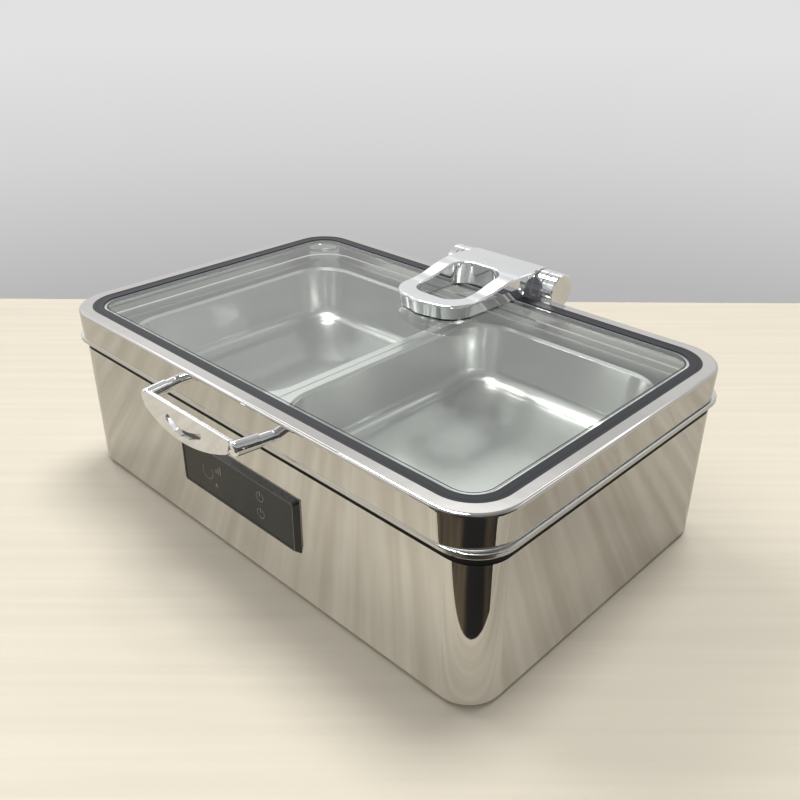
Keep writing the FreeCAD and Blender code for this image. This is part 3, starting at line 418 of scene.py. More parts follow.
@dataclass
class Shading:
    """One material under construction, with short calls for what each finish needs."""

    name: str
    material: Material = field(init=False)
    tree: Tree = field(init=False)
    shader: Node = field(init=False)
    out: Node = field(init=False)

    def __post_init__(self) -> None:
        """Make the material with a single Principled shader."""
        self.material = bpy.data.materials.new(self.name)
        self.material.use_nodes = True
        self.tree = self.material.node_tree
        self.tree.nodes.clear()
        self.shader = self.tree.nodes.new("ShaderNodeBsdfPrincipled")
        self.out = self.tree.nodes.new("ShaderNodeOutputMaterial")
        link(self.tree, self.shader.outputs[0], self.out.inputs["Surface"])

    def fixed(self, **values: float) -> None:
        """Set plain numbers on the shader; underscores in a name stand for spaces."""
        for name, value in values.items():
            self.shader.inputs[name.replace("_", " ")].default_value = value

    def effect(self, kind: Effect, **values: float | Point) -> Node:
        """Place a shared effect with its own values.

        Args:
            kind: Which effect.
            values: Its inputs by name; underscores stand for spaces.

        Returns:
            The group node.
        """
        node = self.tree.nodes.new("ShaderNodeGroup")
        node.node_tree = kind.tree()
        for name, value in values.items():
            node.inputs[name.replace("_", " ")].default_value = value
        return node

    def border(self, outline: Point, start: float, wide: float) -> Socket:
        """Mask a line that runs round inside a rounded rectangle.

        Args:
            outline: The rectangle's half lengths and corner radius.
            start: Distance of the line from the rectangle.
            wide: Width of the line.

        Returns:
            The mask's socket.
        """
        half_x, half_y, radius = outline
        line = self.effect(Effect.BORDER, Half_X=half_x, Half_Y=half_y, Radius=radius, Start=start, Wide=wide)
        return line.outputs["Mask"]

    def blend(self, mask: Socket, first: Rgb | Socket, second: Rgb | Socket) -> Socket:
        """Mix two colours by a mask."""
        return blend(self.tree, mask, first, second)

    def colour(self, mask: Socket, first: Rgb | Socket, second: Rgb | Socket) -> None:
        """Let the base colour run from one colour to another by a mask."""
        link(self.tree, self.blend(mask, first, second), self.shader.inputs["Base Color"])

    def roughness(self, mask: Socket, low: float, high: float) -> None:
        """Let the roughness run between two values by a mask."""
        link(self.tree, span(self.tree, mask, first=low, last=high), self.shader.inputs["Roughness"])

    def bump(self, height: Socket, strength: float, distance: float) -> None:
        """Feed a height to the shader's normal.

        Args:
            height: The height.
            strength: How much of it shows, from 0 to 1.
            distance: Metres that a height of 1 stands for.
        """
        node = self.tree.nodes.new("ShaderNodeBump")
        for name, value in (("Height", height), ("Strength", strength), ("Distance", distance)):
            feed(self.tree, value, node.inputs[name])
        link(self.tree, node.outputs[0], self.shader.inputs["Normal"])


# Finishes


@dataclass(frozen=True)
class Finish:
    """A finish with a name of its own; each kind lays its own surface."""

    name: str

    def material(self) -> Material:
        """Build the finish.

        Returns:
            The finished material.
        """
        s = Shading(self.name)
        self.lay(s)
        return s.material

    def lay(self, s: Shading) -> None:
        """Give the surface its colour, gloss and relief."""
        raise NotImplementedError


@dataclass(frozen=True)
class PolishedSteel(Finish):
    """Mirror-polished stainless sheet with slow waves and a little haze."""

    tint: Rgb = (0.64, 0.625, 0.60)
    haze_tint: Rgb = (0.61, 0.595, 0.57)
    low: float = 0.035
    high: float = 0.10
    wave: float = 0.0010
    stretch: Point = (7.0, 7.0, 2.2)

    def lay(self, s: Shading) -> None:
        """Lay a mirror that haze dulls and slow waves bend.

        Args:
            s: The material.
        """
        s.fixed(Metallic=1.0)
        haze = s.effect(Effect.HAZE, Size=9.0, Cover=0.5)
        s.colour(haze.outputs["Mask"], self.tint, self.haze_tint)
        s.roughness(haze.outputs["Mask"], self.low, self.high)
        ripple = s.effect(Effect.RIPPLE, Stretch=self.stretch, Fine=0.12)
        s.bump(ripple.outputs["Height"], strength=1.0, distance=self.wave)


@dataclass(frozen=True)
class Plating(Finish):
    """Bright plating on a casting: clean, slightly cool, with faint orange peel.

    The small fill stands for the light that many mirrored bounces carry into the hinge's hollows.
    """

    tint: Rgb = (0.86, 0.865, 0.87)
    low: float = 0.03
    high: float = 0.09
    peel: float = 0.00006
    fill: float = 0.03
    fill_tint: Rgb = (0.90, 0.92, 1.0)

    def lay(self, s: Shading) -> None:
        """Lay a clean mirror with a faint peel and the fill.

        Args:
            s: The material.
        """
        s.fixed(Metallic=1.0, Emission_Strength=self.fill)
        s.shader.inputs["Emission Color"].default_value = (*self.fill_tint, 1.0)
        haze = s.effect(Effect.HAZE, Size=24.0, Cover=0.45)
        s.colour(haze.outputs["Mask"], self.tint, shade(self.tint, 0.94))
        s.roughness(haze.outputs["Mask"], self.low, self.high)
        peel = s.effect(Effect.RIPPLE, Stretch=(60.0, 60.0, 60.0), Fine=0.3)
        s.bump(peel.outputs["Height"], strength=1.0, distance=self.peel)


@dataclass(frozen=True)
class SatinSteel(Finish):
    """Satin or brushed steel: fine one-way grain with soft reflections."""

    tint: Rgb = (0.60, 0.60, 0.59)
    dark: Rgb = (0.52, 0.52, 0.51)
    low: float = 0.30
    high: float = 0.34
    grain: Grain = Grain.ALONG_X
    relief: float = 0.000002
    sheen: float = 2.4
    shade_below: float = 0.0
    shade_level: float = 0.7
    fade: float = 0.006

    def lay(self, s: Shading) -> None:
        """Lay a soft mirror with its grain and a clear sheen over it.

        Args:
            s: The material.
        """
        s.fixed(Metallic=1.0, Coat_Weight=1.0, Coat_IOR=self.sheen, Coat_Roughness=0.12)
        lines = s.effect(Effect.BRUSHED, Stretch=self.grain.value, Contrast=1.6)
        s.colour(lines.outputs["Mask"], self.dark, self.tint)
        # Painted shade: below a height the metal's colour is darkened.
        if self.shade_below:
            self.paint_floor_shade(s)
        s.roughness(lines.outputs["Mask"], self.high, self.low)
        s.bump(lines.outputs["Height"], strength=0.5, distance=self.relief)

    def paint_floor_shade(self, s: Shading) -> None:
        """Paint shade on the metal below a height, darkening the floor of a pan.

        Args:
            s: The material.
        """
        height = upward(s.tree, object_place(s.tree))
        level = span(s.tree, height, self.shade_below, self.shade_below + self.fade, first=self.shade_level)
        base = s.shader.inputs["Base Color"]
        link(s.tree, scaled(s.tree, base.links[0].from_socket, level), base)


@dataclass(frozen=True)
class Moulded(Finish):
    """Moulded plastic or rubber: one colour with fine speckle, a gloss and a little dust."""

    tint: Rgb
    low: float
    high: float
    relief: float = 0.00004
    lighter: float = 1.35
    dust: float = 0.5
    dust_tint: Rgb = (0.42, 0.41, 0.39)
    gloss: float = 0.5

    def lay(self, s: Shading) -> None:
        """Lay a speckled colour under light dust.

        Args:
            s: The material.
        """
        s.fixed(Specular_IOR_Level=self.gloss)
        speckle = s.effect(Effect.SPECKLE, Scale=900.0)
        dust = s.effect(Effect.DUST, Amount=self.dust)
        base = s.blend(speckle.outputs["Mask"], self.tint, shade(self.tint, self.lighter, lift=0.004))
        s.colour(dust.outputs["Mask"], base, self.dust_tint)
        s.roughness(speckle.outputs["Mask"], self.low, self.high)
        s.bump(speckle.outputs["Height"], strength=0.4, distance=self.relief)


@dataclass(frozen=True)
class GasketRubber(Finish):
    """Dark silicone of the lid's gasket, with a darker line of painted shade running round it where a groove's shade
    would fall.
    """

    tint: Rgb = (0.014, 0.015, 0.019)
    painted_groove_shade: Rgb = (0.006, 0.006, 0.009)
    outline: Point = (0.282, 0.1795, 0.039)
    shade_line_in: float = 0.0036
    shade_line_wide: float = 0.0013
    low: float = 0.32
    high: float = 0.46
    relief: float = 0.00002

    def lay(self, s: Shading) -> None:
        """Lay a dull rubber with its painted shade line.

        Args:
            s: The material.
        """
        s.fixed(Specular_IOR_Level=0.22)
        speckle = s.effect(Effect.SPECKLE, Scale=900.0)
        base = s.blend(speckle.outputs["Mask"], self.tint, shade(self.tint, 1.2))
        # Painted shade: a darker line stands for the shade in a groove.
        s.colour(s.border(self.outline, self.shade_line_in, self.shade_line_wide), base, self.painted_groove_shade)
        s.roughness(speckle.outputs["Mask"], self.low, self.high)
        s.bump(speckle.outputs["Height"], strength=0.4, distance=self.relief)


@dataclass(frozen=True)
class ClearGlass(Finish):
    """Clear toughened glass with two lines round its edge, a pale one painted to glow and a dark one of painted
    shadow; the glass's own shadow lets light through.
    """

    tint: Rgb = (0.945, 0.968, 0.952)
    outline: Point = (0.2705, 0.1680, 0.0275)
    inset: float = 0.0006
    pale_wide: float = 0.0022
    between: float = 0.0008
    dark_wide: float = 0.0010
    painted_glow: Rgb = (0.22, 0.23, 0.23)
    painted_shadow: Rgb = (0.003, 0.004, 0.004)

    def lay(self, s: Shading) -> None:
        """Lay the glass, its painted glow line and painted shadow line, and a clear way for shadow, diffuse and
        rising mirror rays.

        Args:
            s: The material.
        """
        s.fixed(Metallic=0.0, Transmission_Weight=1.0, IOR=1.46, Roughness=0.0, Emission_Strength=1.0)
        haze = s.effect(Effect.HAZE, Size=6.0, Cover=0.3)
        # Painted light: the pale line glows by emission, and the dark line is painted shadow.
        pale = s.border(self.outline, self.inset, self.pale_wide)
        dark = s.border(self.outline, self.inset + self.pale_wide + self.between, self.dark_wide)
        s.colour(dark, s.blend(haze.outputs["Mask"], self.tint, shade(self.tint, 0.97)), self.painted_shadow)
        link(s.tree, s.blend(pale, BLACK, self.painted_glow), s.shader.inputs["Emission Color"])
        clear = s.tree.nodes.new("ShaderNodeBsdfTransparent")
        clear.inputs[0].default_value = (*self.tint, 1.0)
        path = s.tree.nodes.new("ShaderNodeLightPath")
        below = maths(s.tree, "LESS_THAN", face_up(s.tree), 0.0)
        rising = maths(s.tree, "MULTIPLY", below, path.outputs["Is Glossy Ray"])
        passing = maths(s.tree, "MAXIMUM", path.outputs["Is Shadow Ray"], path.outputs["Is Diffuse Ray"])
        mix = s.tree.nodes.new("ShaderNodeMixShader")
        link(s.tree, maths(s.tree, "MAXIMUM", passing, rising), mix.inputs[0])
        link(s.tree, s.shader.outputs[0], mix.inputs[1])
        link(s.tree, clear.outputs[0], mix.inputs[2])
        link(s.tree, mix.outputs[0], s.out.inputs["Surface"])


@dataclass(frozen=True)
class TouchGlass(Finish):
    """Black glass of the control panel with faint smears."""

    tint: Rgb = (0.012, 0.013, 0.012)
    low: float = 0.10
    high: float = 0.26

    def lay(self, s: Shading) -> None:
        """Lay a dark gloss with smears.

        Args:
            s: The material.
        """
        s.fixed(IOR=1.45, Specular_IOR_Level=0.4)
        haze = s.effect(Effect.HAZE, Size=16.0, Cover=0.8)
        s.colour(haze.outputs["Mask"], self.tint, shade(self.tint, 1.5))
        s.roughness(haze.outputs["Mask"], self.low, self.high)


@dataclass(frozen=True)
class PalePrintAndHighlight(Finish):
    """Pale grey of the panel's printed generic symbols and of the two painted highlight lines along its bezel."""

    tint: Rgb = (0.20, 0.21, 0.20)
    low: float = 0.35
    high: float = 0.55

    def lay(self, s: Shading) -> None:
        """Lay a dull pale grey.

        Args:
            s: The material.
        """
        speckle = s.effect(Effect.SPECKLE, Scale=1400.0)
        s.colour(speckle.outputs["Mask"], self.tint, shade(self.tint, 0.8))
        s.roughness(speckle.outputs["Mask"], self.low, self.high)


@dataclass(frozen=True)
class BoardResist(Finish):
    """Green circuit board with lighter tracks."""

    tint: Rgb = (0.012, 0.11, 0.045)
    track: Rgb = (0.03, 0.22, 0.09)
    low: float = 0.2
    high: float = 0.45

    def lay(self, s: Shading) -> None:
        """Lay the tracks over the board.

        Args:
            s: The material.
        """
        place = object_place(s.tree)
        tracks = s.tree.nodes.new("ShaderNodeTexBrick")
        for name, value in (("Vector", place), ("Scale", 110.0), ("Mortar Size", 0.03)):
            feed(s.tree, value, tracks.inputs[name])
        s.colour(tracks.outputs["Fac"], self.tint, self.track)
        s.roughness(noise(s.tree, place, scale=80.0, detail=3.0), self.low, self.high)
        s.bump(tracks.outputs["Fac"], strength=0.3, distance=0.00005)


@dataclass(frozen=True)
class Winding(Finish):
    """Lacquered copper winding: fine turns about the middle."""

    light: Rgb = (0.78, 0.36, 0.17)
    dark: Rgb = (0.34, 0.13, 0.05)
    turns: float = 180.0
    low: float = 0.25
    high: float = 0.4

    def lay(self, s: Shading) -> None:
        """Lay the turns of wire.

        Args:
            s: The material.
        """
        s.fixed(Metallic=1.0)
        place = object_place(s.tree)
        rings = s.tree.nodes.new("ShaderNodeTexWave")
        rings.wave_type = "RINGS"
        rings.rings_direction = "Z"
        for name, value in (("Vector", place), ("Scale", self.turns), ("Distortion", 0.4)):
            feed(s.tree, value, rings.inputs[name])
        s.colour(rings.outputs["Fac"], self.dark, self.light)
        s.roughness(noise(s.tree, place, scale=60.0, detail=2.0), self.low, self.high)
        s.bump(rings.outputs["Fac"], strength=0.6, distance=0.0003)


@dataclass(frozen=True)
class Mineral(Finish):
    """Pressed mica, ferrite or another dull mineral with flakes."""

    tint: Rgb
    flake: Rgb
    metal: float = 0.0
    low: float = 0.5
    high: float = 0.8

    def lay(self, s: Shading) -> None:
        """Lay the flakes.

        Args:
            s: The material.
        """
        s.fixed(Metallic=self.metal)
        flakes = s.tree.nodes.new("ShaderNodeTexVoronoi")
        for name, value in (("Vector", object_place(s.tree)), ("Scale", 260.0)):
            feed(s.tree, value, flakes.inputs[name])
        s.colour(flakes.outputs["Distance"], self.tint, self.flake)
        s.roughness(flakes.outputs["Distance"], self.low, self.high)
        s.bump(flakes.outputs["Distance"], strength=0.3, distance=0.00008)


FINISHES: dict[str, Finish] = {
    "polished_steel": PolishedSteel("polished_steel_sheet"),
    "polished_casting": Plating("bright_plating"),
    "satin_steel": SatinSteel("satin_pan_steel"),
    "plain_steel": SatinSteel("plain_steel_plate", dark=(0.50, 0.50, 0.49), low=0.28, high=0.45),
    "screw_steel": SatinSteel(
        "zinc_plated_screws", (0.62, 0.61, 0.58), (0.50, 0.49, 0.46), low=0.29, high=0.38, grain=Grain.EVEN
    ),
    "clear_glass": ClearGlass("clear_toughened_glass"),
    "gasket_rubber": Moulded(
        "dark_silicone", (0.010, 0.010, 0.012), low=0.5, high=0.62, relief=0.00002, lighter=1.2, dust=0.1, gloss=0.2
    ),
    "foot_rubber": Moulded("black_foot_rubber", (0.02, 0.02, 0.02), low=0.6, high=0.8),
    "bezel_plastic": Moulded(
        "bezel_gloss_black", (0.012, 0.013, 0.012), low=0.22, high=0.34, relief=0.000004, lighter=1.1, dust=0.25
    ),
    "panel_black": TouchGlass("touch_glass_black"),
    "board_green": BoardResist("circuit_board_green"),
    "component_plastic": Moulded("component_cases", (0.05, 0.05, 0.06), low=0.4, high=0.6),
    "black_plastic": Moulded("moulded_black_plastic", (0.03, 0.03, 0.031), low=0.42, high=0.6),
    "mica": Mineral("pressed_mica", (0.45, 0.40, 0.28), (0.66, 0.60, 0.46)),
    "copper": Winding("copper_winding"),
    "ferrite": Mineral("sintered_ferrite", (0.05, 0.05, 0.055), (0.11, 0.11, 0.115), metal=0.3),
    "sheet_aluminium": SatinSteel("mill_aluminium", (0.78, 0.785, 0.79), (0.66, 0.665, 0.67), low=0.3, high=0.45),
    "brass": SatinSteel("plain_brass", (0.78, 0.60, 0.30), (0.62, 0.46, 0.20), low=0.22, high=0.36, grain=Grain.EVEN),
    "lead_sleeve": Moulded("red_silicone_sleeve", (0.42, 0.04, 0.03), low=0.4, high=0.6),
}


@cache
def material_of(slot: str) -> Material:
    """The slot's finish, built at its first use."""
    return FINISHES[slot].material()


# Pieces


def new_piece(
    name: str, points: list[Point], faces: list[Face], material: Material, body: Body
) -> bpy.types.Object:
    """Make a flat mesh piece that rides on a body.

    Args:
        name: The piece's name.
        points: Vertices in the part's frame.
        faces: Faces as vertex numbers.
        material: Its finish.
        body: Body that it rides on.

    Returns:
        The new object.
    """
    mesh = bpy.data.meshes.new(name)
    mesh.from_pydata(points, [], faces)
    mesh.materials.append(material)
    piece = bpy.data.objects.new(name, mesh)
    bpy.context.scene.collection.objects.link(piece)
    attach(piece, body.value)
    LOG.info("piece %s: %d faces on %s", name, len(mesh.polygons), body.value)
    return piece


def dress(node: str, material: Material | None = None) -> None:
    """Give a carried-over node its finish.

    Args:
        node: Name of the node.
        material: Another finish than the slot's own.
    """
    piece = frame["nodes"][node]
    slot = next(s["material_slot"] for s in frame["record"]["subparts"] if s["node"] == node)
    piece.data.materials.clear()
    piece.data.materials.append(material or material_of(slot))
    LOG.info("node %s: %s", node, slot)


# Sub-assemblies


@dataclass
class Assembly:
    """A sub-assembly whose solids come with the part."""

    nodes: tuple[str, ...] = ()

    def build(self) -> None:
        """Dress every node."""
        for node in self.nodes:
            dress(node)


@dataclass
class Panel(Assembly):
    """Control panel on the front wall: bezel, glass, boards, printed symbols and a painted highlight on the bezel's
    edge.
    """

    nodes: tuple[str, ...] = ("panel_bezel", "panel_glass", "control_board", "display_module", "touch_pads")
    face_y: float = -0.18966
    line_wide: float = 0.0008
    ring_steps: int = 28
    keys: tuple[Pair, ...] = ((0.0383, 0.0958), (0.0381, 0.0774))
    key_r: float = 0.0054
    key_gap: float = 0.55
    key_bar_half: float = 0.0007
    key_bar_foot: float = 0.001
    key_bar_head: float = 0.0062
    dial: Pair = (-0.0441, 0.0866)
    dial_r: float = 0.0085
    dial_gap: float = 0.9
    level_first: float = 0.0135
    level_pitch: float = 0.0035
    level_wide: float = 0.0016
    level_foot: float = 0.004
    level_rises: tuple[float, ...] = (0.004, 0.007, 0.010)
    arrow: tuple[Pair, ...] = ((0.0105, -0.0125), (0.0155, -0.0125), (0.0130, -0.0075))
    highlight_y: float = -0.19002
    highlight_wide: float = 0.0005
    highlight_left: float = -0.0855
    highlight_right: float = 0.0855
    highlight_low: float = 0.0600
    highlight_high: float = 0.1105
    print_and_highlight_finish: Material = field(init=False)

    def mark(self, name: str, points: list[Point], faces: list[Face]) -> None:
        """Make a flat piece on the panel, for print and for the painted highlight."""
        new_piece(name, points, faces, self.print_and_highlight_finish, Body.BASE)

    def shape(self, name: str, y: float, corners: tuple[Pair, ...]) -> None:
        """Lay one filled shape from its corners in X and Z."""
        self.mark(name, [(x, y, z) for x, z in corners], [tuple(range(len(corners)))])

    def bar(self, name: str, y: float, left: float, right: float, low: float, high: float) -> None:
        """Lay an upright rectangle."""
        self.shape(name, y, ((left, low), (right, low), (right, high), (left, high)))

    def ring(self, name: str, x: float, z: float, radius: float, gap: float) -> None:
        """Print an open ring on the glass.

        Args:
            name: Name of the piece.
            x: Middle of the ring along the panel.
            z: Middle of the ring up the panel.
            radius: Outer radius.
            gap: Half angle of the opening at the top.
        """
        points: list[Point] = []
        for step in range(self.ring_steps + 1):
            angle = math.pi / 2 + gap + (2 * math.pi - 2 * gap) * step / self.ring_steps
            for r in (radius - self.line_wide, radius):
                points.append((x + r * math.cos(angle), self.face_y, z + r * math.sin(angle)))
        self.mark(name, points, [(a, a + 1, a + 3, a + 2) for a in range(0, 2 * self.ring_steps, 2)])

    def symbols(self) -> None:
        """Print two keys with a bar each, and a dial with level bars and an arrow."""
        for number, (x, z) in enumerate(self.keys):
            self.ring(f"key_ring_{number}", x, z, self.key_r, self.key_gap)
            left, right = x - self.key_bar_half, x + self.key_bar_half
            self.bar(f"key_bar_{number}", self.face_y, left, right, z + self.key_bar_foot, z + self.key_bar_head)
        x, z = self.dial
        self.ring("dial_ring", x, z, self.dial_r, self.dial_gap)
        foot = z + self.level_foot
        for number, rise in enumerate(self.level_rises):
            left = x + self.level_first + self.level_pitch * number
            self.bar(f"level_bar_{number}", self.face_y, left, left + self.level_wide, foot, foot + rise)
        self.shape("level_arrow", self.face_y, tuple((x + aside, z + up) for aside, up in self.arrow))

    def paint_bezel_highlight(self) -> None:
        """Paint a highlight as a pale line where the bezel's slope meets its flat, on the top and the right."""
        right, high = self.highlight_right, self.highlight_high
        # Painted highlight: pale lines stand for the light caught on the bezel's edge.
        self.bar("bezel_top_highlight", self.highlight_y, self.highlight_left, right, high, high + self.highlight_wide)
        self.bar("bezel_side_highlight", self.highlight_y, right, right + self.highlight_wide, self.highlight_low, high)

    def build(self) -> None:
        """Dress the panel, print its symbols and paint the highlight on its bezel."""
        super().build()
        self.print_and_highlight_finish = PalePrintAndHighlight("pale_print").material()
        self.symbols()
        self.paint_bezel_highlight()


@dataclass
class Shell(Assembly):
    """Housing, base plate, feet, water pan and mains inlet."""

    nodes: tuple[str, ...] = (
        "housing", "base_plate", "base_screws", "feet", "water_pan", "pan_seal",
        "mains_inlet", "inlet_pins", "inlet_screws",
    )


@dataclass
class Pans(Assembly):
    """The two lift-out food pans, their floors darkened with painted shade, one more than the other."""

    nodes: tuple[str, ...] = ("food_pan_left", "food_pan_right")
    shade_level: Pair = (0.56, 0.92)
    shade_below: float = 0.0965
    tint: Rgb = (0.57, 0.57, 0.56)
    dark: Rgb = (0.52, 0.52, 0.51)
    sheen: float = 2.3

    def build(self) -> None:
        """Dress each pan with its own level of painted shade on its floor."""
        for node, shade_level in zip(self.nodes, self.shade_level):
            finish = SatinSteel(
                "satin_" + node, self.tint, self.dark, sheen=self.sheen, shade_below=self.shade_below, shade_level=shade_level
            )
            dress(node, finish.material())


@dataclass
class Lid(Assembly):
    """Frame, gasket, glass, bumpers and handle."""

    nodes: tuple[str, ...] = ("lid_frame", "lid_glass", "lid_bumpers", "handle", "handle_screws")

    def build(self) -> None:
        """Dress the lid, with the gasket's own rubber and its painted shade line."""
        super().build()
        dress("lid_gasket", GasketRubber("gasket_band").material())


@dataclass
class Hinge(Assembly):
    """Loop arm, barrel and bracket."""

    nodes: tuple[str, ...] = (
        "hinge_arm", "arm_pad", "clamp_plate", "clamp_screws", "hinge_bushes", "hinge_damper",
        "hinge_pin", "hinge_end_caps", "hinge_bracket", "bracket_screws", "nut_plate",
    )


@dataclass
class Heating(Assembly):
    """Coil, boards and fan inside the base."""

    nodes: tuple[str, ...] = (
        "insulation_sheet", "coil", "coil_tray", "ferrite_bars", "coil_support", "temperature_sensor",
        "coil_leads", "power_board", "board_posts", "heat_sink", "board_components", "fan_frame", "fan_impeller",
    )


# Studio


@dataclass(frozen=True)
class SoftBox:
    """A square soft light that metal shows as a highlight and dull surfaces don't.

    Its place and side are in metres, its power in watts.
    """

    name: str
    place: Vector
    side: float
    power: float

    def hang(self, aim: Vector, receivers: bpy.types.Collection) -> None:
        """Hang the light.

        Args:
            aim: Point that it faces.
            receivers: Collection that says what it leaves out.
        """
        data = bpy.data.lights.new(self.name, "AREA")
        data.size = self.side
        data.energy = self.power
        data.color = DAYLIGHT
        light = bpy.data.objects.new(self.name, data)
        light.location = self.place
        light.visible_diffuse = False
        light.rotation_mode = "QUATERNION"
        light.rotation_quaternion = (aim - self.place).to_track_quat("-Z", "Y")
        light.light_linking.receiver_collection = receivers
        bpy.context.scene.collection.objects.link(light)


@dataclass(frozen=True)
class BroadLight:
    """An even soft light that dull surfaces show and polished ones don't.

    It travels along a level course and comes down from a height in degrees. The spread is how wide its
    source looks, in radians.
    """

    name: str
    course: Pair
    height: float
    power: float
    spread: float

    def hang(self) -> None:
        """Hang the light."""
        data = bpy.data.lights.new(self.name, "SUN")
        data.energy = self.power
        data.angle = self.spread
        data.color = DAYLIGHT
        light = bpy.data.objects.new(self.name, data)
        slope = math.radians(self.height)
        flat = math.cos(slope)
        way = Vector((flat * self.course[0], flat * self.course[1], -math.sin(slope)))
        light.rotation_mode = "QUATERNION"
        light.rotation_quaternion = way.to_track_quat("-Z", "Y")
        light.visible_glossy = False
        bpy.context.scene.collection.objects.link(light)


@dataclass
class Studio:
    """Pale floor with painted shade and a painted glow in mirrors, soft light and the camera.

    A fade holds what span() takes: start, end, and the result at both. The stops of a wall are pairs of
    height, from -1 straight down to 1 straight up, and grey level.
    """

    azimuth: float = 43.9225
    elevation: float = 28.2076
    distance: float = 0.9929142
    target: Point = (-0.0213029, 0.0560883, 0.080)
    roll: float = 0.3388
    lens: float = 39.114
    floor_back: float = 0.56
    floor_front: float = 2.4
    floor_half: float = 2.4
    floor_rough: float = 0.75
    floor_gloss: float = 0.15
    floor_streaks: Point = (0.7, 0.022, 1.0)
    floor_plain: tuple[Rgb, Rgb] = ((0.51, 0.47, 0.395), (0.62, 0.575, 0.485))
    floor_mirrored: tuple[Rgb, Rgb] = ((0.23, 0.21, 0.17), (0.29, 0.27, 0.225))
    floor_glow: tuple[Rgb, Rgb] = ((0.89, 0.81, 0.66), (1.08, 1.01, 0.86))
    near_fade: tuple[float, ...] = (-0.5, 0.3, 0.88, 0.94)
    right_fade: tuple[float, ...] = (0.0, 0.36, 0.36, 0.12)
    left_fade: tuple[float, ...] = (-0.45, -0.12, 0.55, 1.0)
    flag_near: float = 0.40
    flag_outline: tuple[Pair, ...] = (
        (-0.265, 0.0), (0.175, 0.0), (0.175, 0.118), (0.45, 0.124),
        (0.45, 0.24), (-0.45, 0.24), (-0.45, 0.124), (-0.265, 0.118),
    )
    flag_rough: float = 0.8
    flag_tints: tuple[Rgb, Rgb] = ((0.006, 0.006, 0.008), (0.11, 0.085, 0.055))
    aim: Point = (0.0, 0.0, 0.1)
    top_near: float = 0.25
    top_aside: float = -0.35
    top_height: float = 1.8
    left_place: Point = (-0.81, 0.15, 1.77)
    windows: tuple[BroadLight, ...] = (
        BroadLight("window_back", (0.15, -1.0), height=72.0, power=2.36, spread=0.42),
        BroadLight("window_left", (1.0, 0.0), height=38.0, power=1.8, spread=0.6),
        BroadLight("window_front", (-0.69, 0.72), height=60.0, power=0.25, spread=1.0),
    )
    left_gain: float = 0.28
    wall_beyond: tuple[Pair, ...] = (
        (-0.42, 0.44), (-0.34, 0.48), (-0.21, 0.66), (-0.10, 0.76), (0.20, 0.74), (0.365, 0.80),
        (0.40, 0.95), (0.44, 0.90), (0.47, 0.80), (0.51, 0.77), (0.55, 1.0), (0.585, 1.45),
        (0.605, 1.6), (0.612, 4.0), (0.63, 4.0), (0.64, 0.80), (0.80, 0.50), (0.97, 0.45),
    )
    room_behind: tuple[Pair, ...] = (
        (-1.0, 0.30), (-0.1, 0.34), (0.2, 0.48), (0.5, 0.48), (0.68, 0.24), (0.88, 0.30), (0.97, 0.45),
    )

    def away(self) -> Vector:
        """Level direction from the object towards the camera."""
        a = math.radians(self.azimuth)
        return Vector((math.sin(a), -math.cos(a), 0.0))

    def across(self) -> Vector:
        """Level direction to the camera's right."""
        a = math.radians(self.azimuth)
        return Vector((math.cos(a), math.sin(a), 0.0))

    def card(self, name: str, corners: list[Vector], rough: float) -> tuple[bpy.types.Object, Shading]:
        """Make a flat stage piece from its corners.

        Args:
            name: Name of the piece.
            corners: Corners in order.
            rough: Its roughness.

        Returns:
            The stage object and its material, which still wants a colour.
        """
        mesh = bpy.data.meshes.new(name)
        mesh.from_pydata([tuple(c) for c in corners], [], [tuple(range(len(corners)))])
        piece = bpy.data.objects.new(name, mesh)
        bpy.context.scene.collection.objects.link(piece)
        s = Shading(name + "_surface")
        s.fixed(Roughness=rough)
        mesh.materials.append(s.material)
        return piece, s

    def floor(self) -> None:
        """Lay the floor: pale to the eye and dull surfaces, painted darker farther off, and in mirrors darker still
        with a painted glow that dims towards the sides.
        """
        away, across = self.away(), self.across()
        back, front = -self.floor_back, self.floor_front
        corners = []
        for depth, side in ((back, -1), (front, -1), (front, 1), (back, 1)):
            corners.append(away * depth + across * side * self.floor_half)
        _, s = self.card("floor", corners, self.floor_rough)
        s.fixed(Specular_IOR_Level=self.floor_gloss)
        place = object_place(s.tree)
        streaks = turned(s.tree, place, (0.0, 0.0, math.radians(self.azimuth)), self.floor_streaks, kind="TEXTURE")
        grain = noise(s.tree, streaks, scale=1.5, detail=5.0)
        sharp = sharpened(s.tree, grain, level=0.36, gain=3.4)
        ahead = vectors(s.tree, "DOT_PRODUCT", place, away)
        aside = vectors(s.tree, "DOT_PRODUCT", place, across)
        # Painted shade: the floor's own colour is darker farther from the camera.
        plain = scaled(s.tree, s.blend(grain, *self.floor_plain), span(s.tree, ahead, *self.near_fade))
        # Painted reflection: mirrors see a darker floor with a painted glow, dimmed towards the sides and most to the
        # right.
        fades = (span(s.tree, aside, *fade) for fade in (self.right_fade, self.left_fade))
        glow = scaled(s.tree, s.blend(sharp, *self.floor_glow), maths(s.tree, "MULTIPLY", *fades))
        glossy = s.tree.nodes.new("ShaderNodeLightPath").outputs["Is Glossy Ray"]
        s.colour(glossy, plain, s.blend(sharp, *self.floor_mirrored))
        link(s.tree, glow, s.shader.inputs["Emission Color"])
        link(s.tree, glossy, s.shader.inputs["Emission Strength"])

